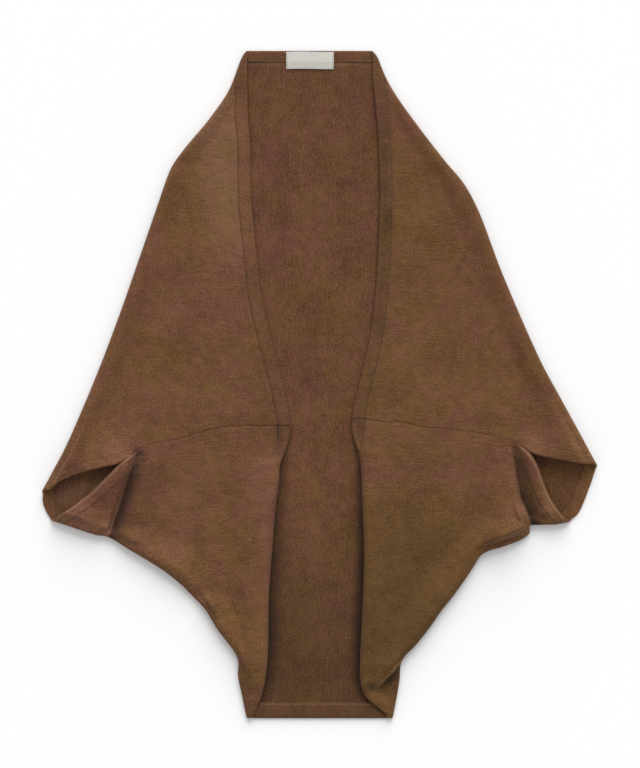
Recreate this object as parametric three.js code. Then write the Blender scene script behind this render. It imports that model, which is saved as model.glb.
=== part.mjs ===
// Open knit poncho laid flat on its back, front side up. One rectangle of fine jersey folds over
// at the sides, so each front is joined to the back by a soft fold instead of a seam.
// Millimetres, X to the right, Y towards the neck, Z up from the surface it lies on.
import * as THREE from 'three';

// ---------- driving dimensions ----------
const CLOTH = 1.4;              // thickness of the knit
const SEAM_GAP = 0.3;           // space left between two pieces that meet
const FOOT_GAP = 0.5;           // and between a fold's foot and the back
const HEM_WIDTH = 13;           // depth of every turned hem
const LABEL = { left: -39.9, right: 17.1, bottom: 378.3, top: 398.6, thickness: 1.0 };
// y of the back's two cut edges, their ends, and their hem: its ends at the edge, and its raw edge
const NECK = { y: 400, ends: [-86, 62], hemEnds: [-85.3, 61.3], raw: { y: 387, ends: [-85.8, 63] } };
const BOTTOM = { y: -400, ends: [-87, 88], hemEnds: [-76.5, 82], raw: { y: -381.5, ends: [-70, 59.5] } };

const BACK_MIDDLE = CLOTH / 2;                        // height of the middle of the back's wall
const ON_BACK = CLOTH + SEAM_GAP + CLOTH / 2;         // middle of a wall that lies on the back
const HEM_TURN = (CLOTH + SEAM_GAP) / 2;              // radius of a hem folded flat

// ---------- how the cloth lies ----------
const FOLD_REACH = 8;           // a fold settles onto the back within this many of its radii
const FREE_MARGIN = 14;         // creases and slack grow from nothing within this of an edge
const SLACK = 0.8;              // height of the gentle unevenness everywhere, from long waves
const SLACK_WAVE = { x: 47, y: 61, yShift: 0.6, lift: 1.1 };
const MEETING_RISES = 0.35;     // share of the lower of two rises that is added where they meet
const HEM_SETTLES = { edge: 5, opening: 1.3 };  // turns and hem widths over which the cloth settles
const HEM_CLEARANCE = 2;        // the cloth stays over an edge's hem this far past its raw edge
const CUFF_DROP = 0.75;         // the lower front is cut this far below the seam
const SEAM_PULL = 2.5;          // how fast the rows straighten away from the seam
const FOOT_EASE = 12;           // how close to the fold its rows start to turn towards it
const HEM_END_ROOM = 3;         // least distance from a hem's end to the fold beyond it
const CUFF_TURN = 30;           // a fold's foot slides to the back's armhole over this length
const CUFF_FLATTENS = 0.42;     // and the fold bulges less there by this share

// ---------- number of steps ----------
const ROWS = 30;                // along each front, closer together towards the armhole
const ROW_CROWDING = 1.35;
const SEAM_COLUMNS = 10;        // across the top of a front, as far as its seam reaches
const OPENING_COLUMNS = 9;      // and on past the armhole
const HEM_COLUMNS = 1;          // across its turned hem
const TURN_COLUMNS = 3;         // round the hem's edge
const FOLD_COLUMNS = 5;         // round the fold that joins it to the back
const ARMHOLE_ROWS = 6;
const ARMHOLE_HEM_ROWS = 2;
const LABEL_ROWS = 8;

// ---------- tables, one for each side ----------
// front edge and outline: x, y, radius of the turn there
// seam, armhole and cuff: x, y
// folds: from x, from y, to x, to y, height (minus for a trough), width on its left, width on its
// right (looking from the first end to the second), share of the height left at each end
const LEFT = {
  slackShift: -1,
  upperEdge: [
    [-88, 389, 1], [-87.4, 353, 0.9], [-86.8, 320, 1], [-84, 287, 1.1], [-83, 221, 1.2], [-77, 161, 1.2],
    [-70, 101, 1.2], [-62, 64, 1.2], [-52, 25, 1.1], [-42, -15, 1], [-36, -49, 1],
  ],
  upperOutline: [
    [-93.4, 389, 2], [-107.8, 353, 2.6], [-130.8, 319, 3.4], [-160.6, 283, 4], [-174.5, 264, 4.1],
    [-179.9, 253, 4.2], [-195.3, 209, 4.4], [-216, 149, 4.4], [-237, 89, 4.4], [-259.4, 29, 4.6],
    [-284, -31, 5], [-305.4, -79, 6], [-329, -122, 6.5],
  ],
  lowerEdge: [
    [-36, -49.7, 1], [-38, -67, 1.3], [-43, -83, 2.4], [-48, -98, 4], [-49, -117, 5.4], [-52, -141, 6.2],
    [-55, -171, 6.6], [-58, -211, 7], [-61, -251, 7.2], [-62, -314, 6.8], [-65, -349, 5.4], [-71, -376, 3],
    [-79, -395, 1.6],
  ],
  lowerOutline: [
    [-315, -164, 6], [-293, -171.5, 6.2], [-268, -179.5, 5], [-253.5, -182, 3], [-227, -197.5, 5.6],
    [-188.5, -221, 6.4], [-165.5, -239, 5.4], [-149.8, -255, 3.6], [-138, -267, 6], [-121.6, -293, 6.6],
    [-97.4, -328, 5.6], [-97, -349, 3.4], [-93, -369, 2.4], [-87, -395, 1.7],
  ],
  seam: [[-36, -49], [-73, -49], [-113, -50], [-135, -55], [-165, -64], [-191, -69], [-215, -77]],
  armhole: [[-215, -77], [-228, -86], [-241, -93], [-263, -98], [-293, -106], [-314, -114], [-329, -122]],
  cuff: [[-215, -77], [-229, -88], [-241, -99], [-257, -115], [-283, -139], [-315, -164]],
  backArmhole: [[-330, -130], [-330.6, -140], [-326.5, -152], [-321, -160]],
  folds: [
    [-219, -82, -255, -190, -9, 14, 22, 0.4, 0.9],
    [-200, -82, -232, -190, 9, 16, 34, 0.2, 0.5],
    [-236, -104, -300, -160, 9, 20, 22, 0.7, 0.5],
    [-232, -92, -300, -108, 12, 26, 34, 0.6, 0.4],
    [-136, -150, -133, -268, 7, 9, 26, 0.05, 1],
    [-148, -170, -148, -268, -5, 12, 8, 0.05, 1],
    [-98, -326, -82, -350, 4, 12, 6, 0.8, 0.1],
  ],
};
const RIGHT = {
  slackShift: 1,
  upperEdge: [
    [64, 394, 0.85], [65, 365, 0.9], [68, 335, 1], [71, 299, 1.1], [73, 245, 1.2], [73, 215, 1.2],
    [70, 137, 1.2], [63, 65, 1.2], [50, 5, 1.1], [43, -22, 1], [40, -41, 1],
  ],
  upperOutline: [
    [68, 394, 1.7], [78.4, 369, 2.2], [91.4, 346, 3], [120.8, 305, 3.8], [151.1, 266, 4], [172, 241, 4.2],
    [189.4, 209, 4.4], [215.6, 140, 4.4], [238.2, 86, 4.4], [254.6, 49, 4.5], [268.3, 20, 4.6],
    [289, -18, 5], [309.2, -55, 6], [328.6, -91, 6.5],
  ],
  lowerEdge: [
    [40, -41.7, 1], [40, -56, 1.2], [43, -70, 2], [47, -83, 3.4], [50, -107, 5], [51, -139, 6],
    [53, -187, 6.6], [53, -229, 7], [51, -283, 7.2], [49, -331, 6.4], [50, -359, 4.4], [56, -374, 3], [80, -395, 1.6],
  ],
  lowerOutline: [
    [293, -165, 5.4], [282, -167.5, 5.4], [266, -167.5, 4.5], [251, -169, 3.8], [251.5, -177, 2.7],
    [241.5, -185.3, 4.6], [223, -192.5, 6.5], [194.5, -203, 5], [182, -221, 5.6], [162.5, -249, 6.4],
    [145.8, -270, 6.4], [131.2, -291, 6.4], [115.8, -310.5, 6], [98, -331, 5.4], [95, -356, 3.2], [87.6, -395, 1.7],
  ],
  seam: [[40, -41], [56, -41], [75, -44], [100, -45], [121, -50], [193, -58], [235, -69]],
  armhole: [[235, -69], [246, -76], [258, -82], [289, -88], [310, -91], [328.6, -91]],
  cuff: [[235, -69], [245, -77], [254, -88], [260, -99], [266, -115], [277, -141], [293, -165]],
  backArmhole: [[330.4, -99], [322, -124], [308.8, -154], [300, -161.5]],
  folds: [
    [232, -82, 249, -170, -10, 9, 8, 0.5, 0.9],
    [222, -92, 238, -172, 13, 34, 9, 0.2, 0.9],
    [252, -86, 272, -160, 8, 14, 18, 0.7, 0.4],
    [262, -84, 318, -92, 12, 34, 26, 0.7, 0.4],
    [196, -190, 240, -172, 6, 26, 10, 0.5, 0.6],
    [97, -332, 70, -361, 6, 6, 12, 0.9, 0.2],
    [84, -352, 66, -363, -3, 8, 8, 0.6, 0.6],
  ],
};

// ---------- small helpers ----------
const clamp = (value, low, high) => Math.min(high, Math.max(low, value));
const mix = (a, b, f) => a + (b - a) * f;
const rowShare = (i) => 1 - (1 - i / ROWS) ** ROW_CROWDING;
const smooth = (f) => { const c = clamp(f, 0, 1); return c * c * (3 - 2 * c); };

/** A soft curve through the rows of a table, read by the share of its length. */
function curveOf(rows) {
  const path = new THREE.CatmullRomCurve3(
    rows.map(([x, y]) => new THREE.Vector3(x, y, 0)), false, 'centripetal');
  path.arcLengthDivisions = 400;
  const lengths = path.getLengths();
  const total = lengths[lengths.length - 1];
  const marks = rows.map((row, i) => lengths[Math.round(i / (rows.length - 1) * 400)] / total);
  return {
    length: total,
    point: (f) => path.getPointAt(clamp(f, 0, 1)),
    tangent: (f) => path.getTangentAt(clamp(f, 0, 1)),
    radius: (f) => {
      let i = 1;
      while (i < marks.length - 1 && marks[i] < f) i += 1;
      const part = smooth((f - marks[i - 1]) / (marks[i] - marks[i - 1]));
      return mix(rows[i - 1][2], rows[i][2], part);
    },
  };
}

/** Height that one fold adds at x, y: a ridge or trough with its own width on each side. */
function foldHeight([x1, y1, x2, y2, height, leftWidth, rightWidth, startShare, endShare], x, y) {
  const length = Math.hypot(x2 - x1, y2 - y1);
  const along = ((x - x1) * (x2 - x1) + (y - y1) * (y2 - y1)) / length;
  const across = ((x - x1) * (y2 - y1) - (y - y1) * (x2 - x1)) / length;
  const width = across < 0 ? leftWidth : rightWidth;
  const endHeight = mix(startShare, endShare, smooth(along / length));
  const middle = Math.sin(Math.PI * clamp(along / length, 0, 1));
  const fullness = mix(endHeight, 1, middle * (1 - Math.max(startShare, endShare) / 2));
  const past = Math.max(0, -along, along - length) / (leftWidth + rightWidth);
  return height * fullness * Math.exp(-4 * past * past - (across / width) ** 2);
}

// ---------- the fronts ----------
/** Builds the points of one front: rows from top to bottom, columns from hem to fold foot. */
function frontSurface(side, part) {
  const upper = part === 'upper';
  const edge = curveOf(upper ? side.upperEdge : side.lowerEdge);
  const outline = curveOf(upper ? side.upperOutline : side.lowerOutline);
  const seam = curveOf(side.seam);
  const opening = curveOf(upper ? side.armhole : side.cuff);
  const seamShare = seam.length / (seam.length + opening.length);
  const crossing = (s) => {
    const point = s < seamShare
      ? seam.point(s / seamShare) : opening.point((s - seamShare) / (1 - seamShare));
    point.y -= upper ? 0 : CUFF_DROP;
    return point;
  };
  const corner = [crossing(0), crossing(1)];

  /** The place on the table plane at share s across and share t from the free end to the seam. */
  const plan = (s, t) => {
    const along = upper ? t : 1 - t;
    const a = edge.point(along);
    const b = outline.point(along);
    const line = a.clone().lerp(b, s);
    const pull = crossing(s).sub(corner[0].clone().lerp(corner[1], s));
    return line.addScaledVector(pull, t ** SEAM_PULL);
  };
  /** Unit direction from the outline into the cloth, level with the table. */
  const inward = (t) => {
    const along = upper ? t : 1 - t;
    const tangent = outline.tangent(along);
    const normal = new THREE.Vector3(-tangent.y, tangent.x, 0);
    return normal.dot(plan(0.5, t).sub(plan(1, t))) < 0 ? normal.negate() : normal;
  };
  const edgeInward = (t) => plan(0.1, t).sub(plan(0, t)).normalize();
  const turn = (t) => edge.radius(upper ? t : 1 - t);
  const fold = (t) => outline.radius(upper ? t : 1 - t);
  /** 0 along most of the fold and 1 at its end, where its foot has slid to the back's armhole. */
  const foldEnd = (t) => smooth(1 - (1 - t) * outline.length / CUFF_TURN);
  const [cornerX, cornerY] = side.backArmhole[upper ? 0 : side.backArmhole.length - 1];
  const slide = new THREE.Vector3(cornerX, cornerY, 0).sub(plan(1, 1))
    .addScaledVector(inward(1), -FOOT_GAP - fold(1));

  /** Middle of the wall at share s of the way from the front edge's turn to the fold. */
  const top = (s, t) => {
    const width = plan(0, t).distanceTo(plan(1, t));
    const p = plan(mix(turn(t) / width, 1, s), t);
    p.addScaledVector(inward(t), fold(t) * s ** FOOT_EASE);
    const fromEdge = s * width;
    const fromFold = (1 - s) * width;
    const edgeRise = 2 * turn(t) * (1 - smooth(fromEdge / (HEM_WIDTH + HEM_SETTLES.edge * turn(t))));
    const foldTop = BACK_MIDDLE + 2 * fold(t) - ON_BACK;
    const foldRise = foldTop * (1 - smooth(fromFold / (FOLD_REACH * fold(t))));
    const rises = Math.max(edgeRise, foldRise) + MEETING_RISES * Math.min(edgeRise, foldRise);
    const free = smooth(fromEdge / FREE_MARGIN) * smooth(fromFold / FREE_MARGIN);
    const folds = side.folds.reduce((sum, row) => sum + foldHeight(row, p.x, p.y), 0);
    const slack = SLACK * (SLACK_WAVE.lift + Math.sin(p.x / SLACK_WAVE.x + side.slackShift)
      * Math.sin(p.y / SLACK_WAVE.y + SLACK_WAVE.yShift));
    const overEdgeHem = 1 - smooth((fromEdge - HEM_WIDTH - HEM_CLEARANCE) / HEM_WIDTH);
    const fromOpening = s > seamShare ? (1 - t) * outline.length : 3 * HEM_WIDTH;
    const overArmholeHem = 1 - smooth((fromOpening - HEM_SETTLES.opening * HEM_WIDTH) / HEM_WIDTH);
    const hemRoom = 2 * HEM_TURN * Math.max(overEdgeHem, overArmholeHem);
    p.z = ON_BACK + Math.max(hemRoom, rises + free * (folds + slack));
    return p;
  };
  const columnShare = (j) => (j <= SEAM_COLUMNS
    ? seamShare * j / SEAM_COLUMNS : mix(seamShare, 1, (j - SEAM_COLUMNS) / OPENING_COLUMNS));

  const rows = [];
  for (let i = 0; i <= ROWS; i += 1) {
    const t = rowShare(i);
    const row = [];
    const first = top(0, t);
    const last = top(1, t);
    const into = edgeInward(t);
    const r = (first.z - ON_BACK) / 2;
    const hem = clamp(first.distanceTo(last) - HEM_END_ROOM, CLOTH / 2, HEM_WIDTH);
    for (let j = HEM_COLUMNS; j >= 1; j -= 1) {
      const p = first.clone().addScaledVector(into, hem * j / HEM_COLUMNS);
      row.push(new THREE.Vector3(p.x, p.y, ON_BACK));
    }
    for (let j = 0; j < TURN_COLUMNS; j += 1) {
      const angle = Math.PI * j / TURN_COLUMNS;
      const p = first.clone().addScaledVector(into, -r * Math.sin(angle));
      row.push(new THREE.Vector3(p.x, p.y, ON_BACK + r * (1 - Math.cos(angle))));
    }
    for (let j = 0; j <= SEAM_COLUMNS + OPENING_COLUMNS; j += 1) row.push(top(columnShare(j), t));
    const radius = (last.z - BACK_MIDDLE) / 2;
    const out = inward(t).negate();
    for (let j = 1; j <= FOLD_COLUMNS; j += 1) {
      const angle = Math.PI * j / FOLD_COLUMNS;
      const p = last.clone().addScaledVector(out, fold(t) * (1 - CUFF_FLATTENS * foldEnd(t)) * Math.sin(angle));
      p.addScaledVector(slide, foldEnd(t) * (1 - Math.cos(angle)) / 2);
      row.push(new THREE.Vector3(p.x, p.y, BACK_MIDDLE + radius * (1 + Math.cos(angle))));
    }
    rows.push(row);
  }
  const normals = gridNormals(rows);
  const up = Math.sign(normals[0][HEM_COLUMNS + TURN_COLUMNS + SEAM_COLUMNS].z);
  return { rows, inward, outward: normals.map((row) => row.map((n) => n.clone().multiplyScalar(up))) };
}

// ---------- walls ----------
/** Unit normals of a grid of points: across the columns, crossed with along the rows. */
function gridNormals(rows) {
  return rows.map((row, i) => row.map((point, j) => {
    const along = rows[Math.min(i + 1, rows.length - 1)][j].clone().sub(rows[Math.max(i - 1, 0)][j]);
    const across = row[Math.min(j + 1, row.length - 1)].clone().sub(row[Math.max(j - 1, 0)]);
    return across.cross(along).normalize();
  }));
}

/**
 * Closed wall of the given thickness round a grid of middle points. Its squares are split along one
 * diagonal, and along the other one in the first `otherWay` columns.
 */
function wall(rows, thickness, normals = gridNormals(rows), otherWay = 0) {
  const columns = rows[0].length;
  const count = rows.length * columns;
  const positions = [];
  [0.5, -0.5].forEach((share) => rows.forEach((row, i) => row.forEach((point, j) => {
    const p = point.clone().addScaledVector(normals[i][j], share * thickness);
    positions.push(p.x, p.y, p.z);
  })));
  const index = [];
  const quad = (a, b, c, d) => index.push(a, b, c, a, c, d);
  for (let i = 0; i < rows.length - 1; i += 1) {
    for (let j = 0; j < columns - 1; j += 1) {
      const a = i * columns + j;
      const [p, q, r, s] = [a, a + 1, a + columns + 1, a + columns];
      if (j < otherWay) {
        quad(q, r, s, p);
        quad(count + q, count + p, count + s, count + r);
      } else {
        quad(p, q, r, s);
        quad(count + p, count + s, count + r, count + q);
      }
    }
  }
  for (let j = 0; j < columns - 1; j += 1) {
    const end = (rows.length - 1) * columns + j;
    quad(j, count + j, count + j + 1, j + 1);
    quad(end, end + 1, count + end + 1, count + end);
  }
  for (let i = 0; i < rows.length - 1; i += 1) {
    const a = i * columns;
    const b = a + columns - 1;
    quad(a, a + columns, count + a + columns, count + a);
    quad(b, count + b, count + b + columns, b + columns);
  }
  const geometry = new THREE.BufferGeometry();
  geometry.setAttribute('position', new THREE.Float32BufferAttribute(positions, 3));
  geometry.setIndex(index);
  geometry.computeVertexNormals();
  return geometry;
}

// ---------- materials ----------
const knit = new THREE.MeshStandardMaterial({ color: 0x6b4a36, roughness: 0.9, metalness: 0 });
const knitInside = new THREE.MeshStandardMaterial({ color: 0x5e4130, roughness: 0.9, metalness: 0 });
const labelCloth = new THREE.MeshStandardMaterial({ color: 0xcfcfc6, roughness: 0.75, metalness: 0 });

const poncho = new THREE.Group();
function add(name, geometry, material) {
  const mesh = new THREE.Mesh(geometry, material);
  mesh.name = name;
  poncho.add(mesh);
}

// ---------- fronts ----------
const fronts = {
  leftUpper: frontSurface(LEFT, 'upper'),
  leftLower: frontSurface(LEFT, 'lower'),
  rightUpper: frontSurface(RIGHT, 'upper'),
  rightLower: frontSurface(RIGHT, 'lower'),
};
add('left_front_upper', wall(fronts.leftUpper.rows, CLOTH), knit);
add('left_front_lower', wall(fronts.leftLower.rows, CLOTH), knit);
add('right_front_upper', wall(fronts.rightUpper.rows, CLOTH), knit);
add('right_front_lower', wall(fronts.rightLower.rows, CLOTH), knit);

// ---------- back ----------
/** One side of the back, from neck to bottom: it follows the feet of the folds. End 0 is the left. */
function backSide(side, upper, lower, end) {
  const foot = (front, i) => {
    const row = front.rows[i];
    const p = row[row.length - 1].clone().addScaledVector(front.inward(rowShare(i)), FOOT_GAP);
    return [p.x, p.y];
  };
  const points = [[NECK.ends[end], NECK.y]];
  for (let i = 0; i <= ROWS; i += 1) points.push(foot(upper, i));
  const armhole = curveOf(side.backArmhole);
  for (let i = 1; i < ARMHOLE_ROWS - 1; i += 1) {
    const p = armhole.point(i / (ARMHOLE_ROWS - 1));
    points.push([p.x, p.y]);
  }
  for (let i = ROWS; i >= 0; i -= 1) points.push(foot(lower, i));
  points.push([BOTTOM.ends[end], BOTTOM.y]);
  return points;
}
const backOutline = [
  ...backSide(LEFT, fronts.leftUpper, fronts.leftLower, 0),
  ...backSide(RIGHT, fronts.rightUpper, fronts.rightLower, 1).reverse(),
].map(([x, y]) => new THREE.Vector2(x, y));
const backShape = new THREE.Shape(backOutline);
add('back_panel', new THREE.ExtrudeGeometry(backShape, { depth: CLOTH, bevelEnabled: false }), knitInside);

// ---------- hems turned onto the inside, with their outside showing ----------
/** Ring round one armhole, under its panels: along the upper front, the back and the cuff. */
function armholeHem(side, upper, lower) {
  const firstColumn = HEM_COLUMNS + TURN_COLUMNS + SEAM_COLUMNS + 1;
  const armhole = curveOf(side.backArmhole);
  const into = side === LEFT ? 1 : -1;
  const down = new THREE.Vector3(0, 0, -1);
  const inset = CLOTH + SEAM_GAP;
  const rows = [];
  const normals = [];
  for (let k = 0; k <= ARMHOLE_HEM_ROWS; k += 1) {
    const row = [];
    const outward = [];
    const follow = (front, columns) => columns.forEach((j) => {
      row.push(front.rows[ROWS - k][j]);
      outward.push(front.outward[ROWS - k][j]);
    });
    const columns = upper.rows[0].map((point, j) => j).slice(firstColumn);
    follow(upper, columns);
    for (let i = 1; i < ARMHOLE_ROWS - 1; i += 1) {
      const share = i / (ARMHOLE_ROWS - 1);
      const p = armhole.point(share);
      const tangent = armhole.tangent(share);
      const normal = new THREE.Vector3(-tangent.y, tangent.x, 0).multiplyScalar(into);
      p.addScaledVector(normal, HEM_WIDTH * k / ARMHOLE_HEM_ROWS + SEAM_GAP);
      row.push(new THREE.Vector3(p.x, p.y, BACK_MIDDLE));
      outward.push(down);
    }
    follow(lower, [...columns].reverse());
    rows.push(row.map((point, j) => point.clone().addScaledVector(outward[j], -inset)));
    normals.push(outward.map((normal) => normal.clone().multiplyScalar(-into)));
  }
  return wall(rows, CLOTH, normals, upper.rows[0].length - firstColumn);
}
add('left_armhole_hem', armholeHem(LEFT, fronts.leftUpper, fronts.leftLower), knit);
add('right_armhole_hem', armholeHem(RIGHT, fronts.rightUpper, fronts.rightLower), knit);

/** Flat strip lying on the back, from the cut edge to the hem's own raw edge. */
function flatHem(edge) {
  const strip = [[edge.hemEnds, edge.y], [edge.raw.ends, edge.raw.y]];
  return strip.map(([ends, y]) => ends.map((x) => new THREE.Vector3(x, y, ON_BACK)));
}
add('neck_hem', wall(flatHem(NECK), CLOTH), knit);
add('bottom_hem', wall(flatHem(BOTTOM), CLOTH), knit);

// ---------- label ----------
const labelOnBack = CLOTH + SEAM_GAP + LABEL.thickness / 2;
const labelOnHem = labelOnBack + CLOTH + SEAM_GAP;
const labelRows = [];
for (let i = 0; i <= LABEL_ROWS; i += 1) {
  const y = mix(LABEL.top, LABEL.bottom, i / LABEL_ROWS);
  const z = mix(labelOnBack, labelOnHem, smooth((y - LABEL.bottom) / (NECK.raw.y - 1 - LABEL.bottom)));
  labelRows.push([new THREE.Vector3(LABEL.left, y, z), new THREE.Vector3(LABEL.right, y, z)]);
}
add('label', wall(labelRows, LABEL.thickness), labelCloth);

export default poncho;
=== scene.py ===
# %% [markdown]
# # Knit poncho, laid flat
# One rectangle of fine wool jersey makes the whole garment. It lies on its back with the inside
# facing up in the middle. Its corners are folded over the front, a short level seam joins them on
# each side, and what the seam leaves open becomes the armholes. This lesson dresses the packed
# model: every cloth solid is replaced by a thin shell of the same form with finer creases, turned
# edges, sewing and a knitted surface.

import bpy
import numpy as np
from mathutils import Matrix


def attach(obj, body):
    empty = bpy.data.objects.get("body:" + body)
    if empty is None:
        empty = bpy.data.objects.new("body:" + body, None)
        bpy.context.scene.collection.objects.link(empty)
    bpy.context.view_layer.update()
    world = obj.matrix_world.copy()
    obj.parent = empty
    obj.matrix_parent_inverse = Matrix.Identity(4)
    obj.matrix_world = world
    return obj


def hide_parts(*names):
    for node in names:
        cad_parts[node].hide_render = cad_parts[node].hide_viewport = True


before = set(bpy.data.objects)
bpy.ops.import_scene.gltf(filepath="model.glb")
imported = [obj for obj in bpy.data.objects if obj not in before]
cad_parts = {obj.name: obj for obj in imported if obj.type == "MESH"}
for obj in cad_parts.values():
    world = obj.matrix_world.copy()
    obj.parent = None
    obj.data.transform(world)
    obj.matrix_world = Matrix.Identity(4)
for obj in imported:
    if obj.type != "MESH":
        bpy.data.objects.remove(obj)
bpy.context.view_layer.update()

# %% [markdown]
# ## Camera
# A garment laid flat is pictured from straight above. A long lens far away keeps raised folds from
# leaning outwards, as a short lens close by would. The frame is 5 wide and 6 high, so the tall side
# sets the lens.

# %% Camera
MM = 0.001
PICTURE_HEIGHT = 921.6 * MM      # what the tall side of the frame takes in on the surface
PICTURE_CENTRE = (0.6 * MM, 0.6 * MM)
CAMERA_HEIGHT = 3.2
SENSOR = 36.0

bpy.ops.object.camera_add(location=(*PICTURE_CENTRE, CAMERA_HEIGHT), rotation=(0, 0, 0))
camera = bpy.context.object
camera.data.sensor_width = SENSOR
camera.data.lens = SENSOR * CAMERA_HEIGHT / PICTURE_HEIGHT
camera.data.clip_end = 20
bpy.context.scene.camera = camera
print("lens", round(camera.data.lens, 1), "mm")

# %% [markdown]
# ## Surface and light
# The surface is a bright plain sheet. A little more than half of the light is soft and comes from
# everywhere, so a white world gives it. The rest is broad window light, low beyond the neck and a
# little to the right. It lays soft shadows below the raised folds and along the left side.

# %% Surface, world and window light
WORLD_STRENGTH = 0.62
WINDOW_STRENGTH = 3.38
WINDOW_WIDTH = np.radians(54)    # how wide the light looks from the garment
WINDOW_TILT = np.radians(64)     # from straight above
WINDOW_TURN = np.radians(-8)     # from +Y, towards +X
FLOOR_WHITE = (0.915, 0.915, 0.915, 1)
FLOOR_SIZE = 12
FLOOR_DROP = 0.1 * MM            # how far the surface lies below the cloth


def new_material(name, finish):
    """A new material, its node tree, and its shader with the values of `finish` on its sockets."""
    material = bpy.data.materials.new(name)
    material.use_nodes = True
    shader = material.node_tree.nodes["Principled BSDF"]
    for title, value in finish.items():
        shader.inputs[title].default_value = value
    return material, material.node_tree, shader


bpy.ops.object.select_all(action="DESELECT")
bpy.ops.mesh.primitive_plane_add(size=FLOOR_SIZE, location=(0, 0, -FLOOR_DROP))
floor = bpy.context.object
floor.name = "surface"
floor.data.materials.append(new_material(
    "surface", {"Base Color": FLOOR_WHITE, "Roughness": 0.95, "Specular IOR Level": 0.0})[0])

world = bpy.data.worlds.new("soft white room")
world.use_nodes = True
background = world.node_tree.nodes["Background"]
background.inputs["Color"].default_value = (1, 1, 1, 1)
background.inputs["Strength"].default_value = WORLD_STRENGTH
bpy.context.scene.world = world

bpy.ops.object.light_add(
    type="SUN", location=(0.5, 1.2, 1), rotation=(-WINDOW_TILT, 0, WINDOW_TURN))
window = bpy.context.object
window.name = "window light"
window.data.energy = WINDOW_STRENGTH
window.data.angle = WINDOW_WIDTH
bpy.context.scene.view_settings.view_transform = "Standard"
bpy.context.scene.view_settings.look = "None"
print("surface", FLOOR_SIZE, "m wide, window light", round(np.degrees(WINDOW_WIDTH)), "degrees")

# %% [markdown]
# ## Sizes that the whole garment shares
# The solid model is built from the same sizes, so both fit together. Lengths are in millimetres
# here, and turn into metres when a mesh is made.

# %% Sizes
CLOTH = 1.4                      # thickness of the knit
SEAM_GAP = 0.3                   # space between two pieces that meet
FOOT_GAP = 0.5                   # between a fold's foot and the back
HEM_WIDTH = 13
BACK_MIDDLE = CLOTH / 2          # height of the middle of the back's wall
ON_BACK = CLOTH + SEAM_GAP + CLOTH / 2       # middle of a wall that lies on the back
HEM_TURN = (CLOTH + SEAM_GAP) / 2
FOLD_REACH = 8                   # a fold settles within this many of its radii
EDGE_REACH = 5                   # and an edge's turn within this many beyond its hem
FREE_MARGIN = 14                 # creases grow from nothing within this of an edge
SLACK = 0.8                      # how far the cloth's long waves stand up
SEAM_PULL = 2.5                  # how late a front's rows bend to meet the seam
FOOT_EASE = 12                   # how near its fold a row reaches out for it
HEM_END_ROOM = 3                 # left free at the inner end of the hem in a narrow tip
CUFF_DROP = 0.75                 # half of the gap in the seam
print("cloth", CLOTH, "mm, middle of a wall on the back", ON_BACK, "mm up")
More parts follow.
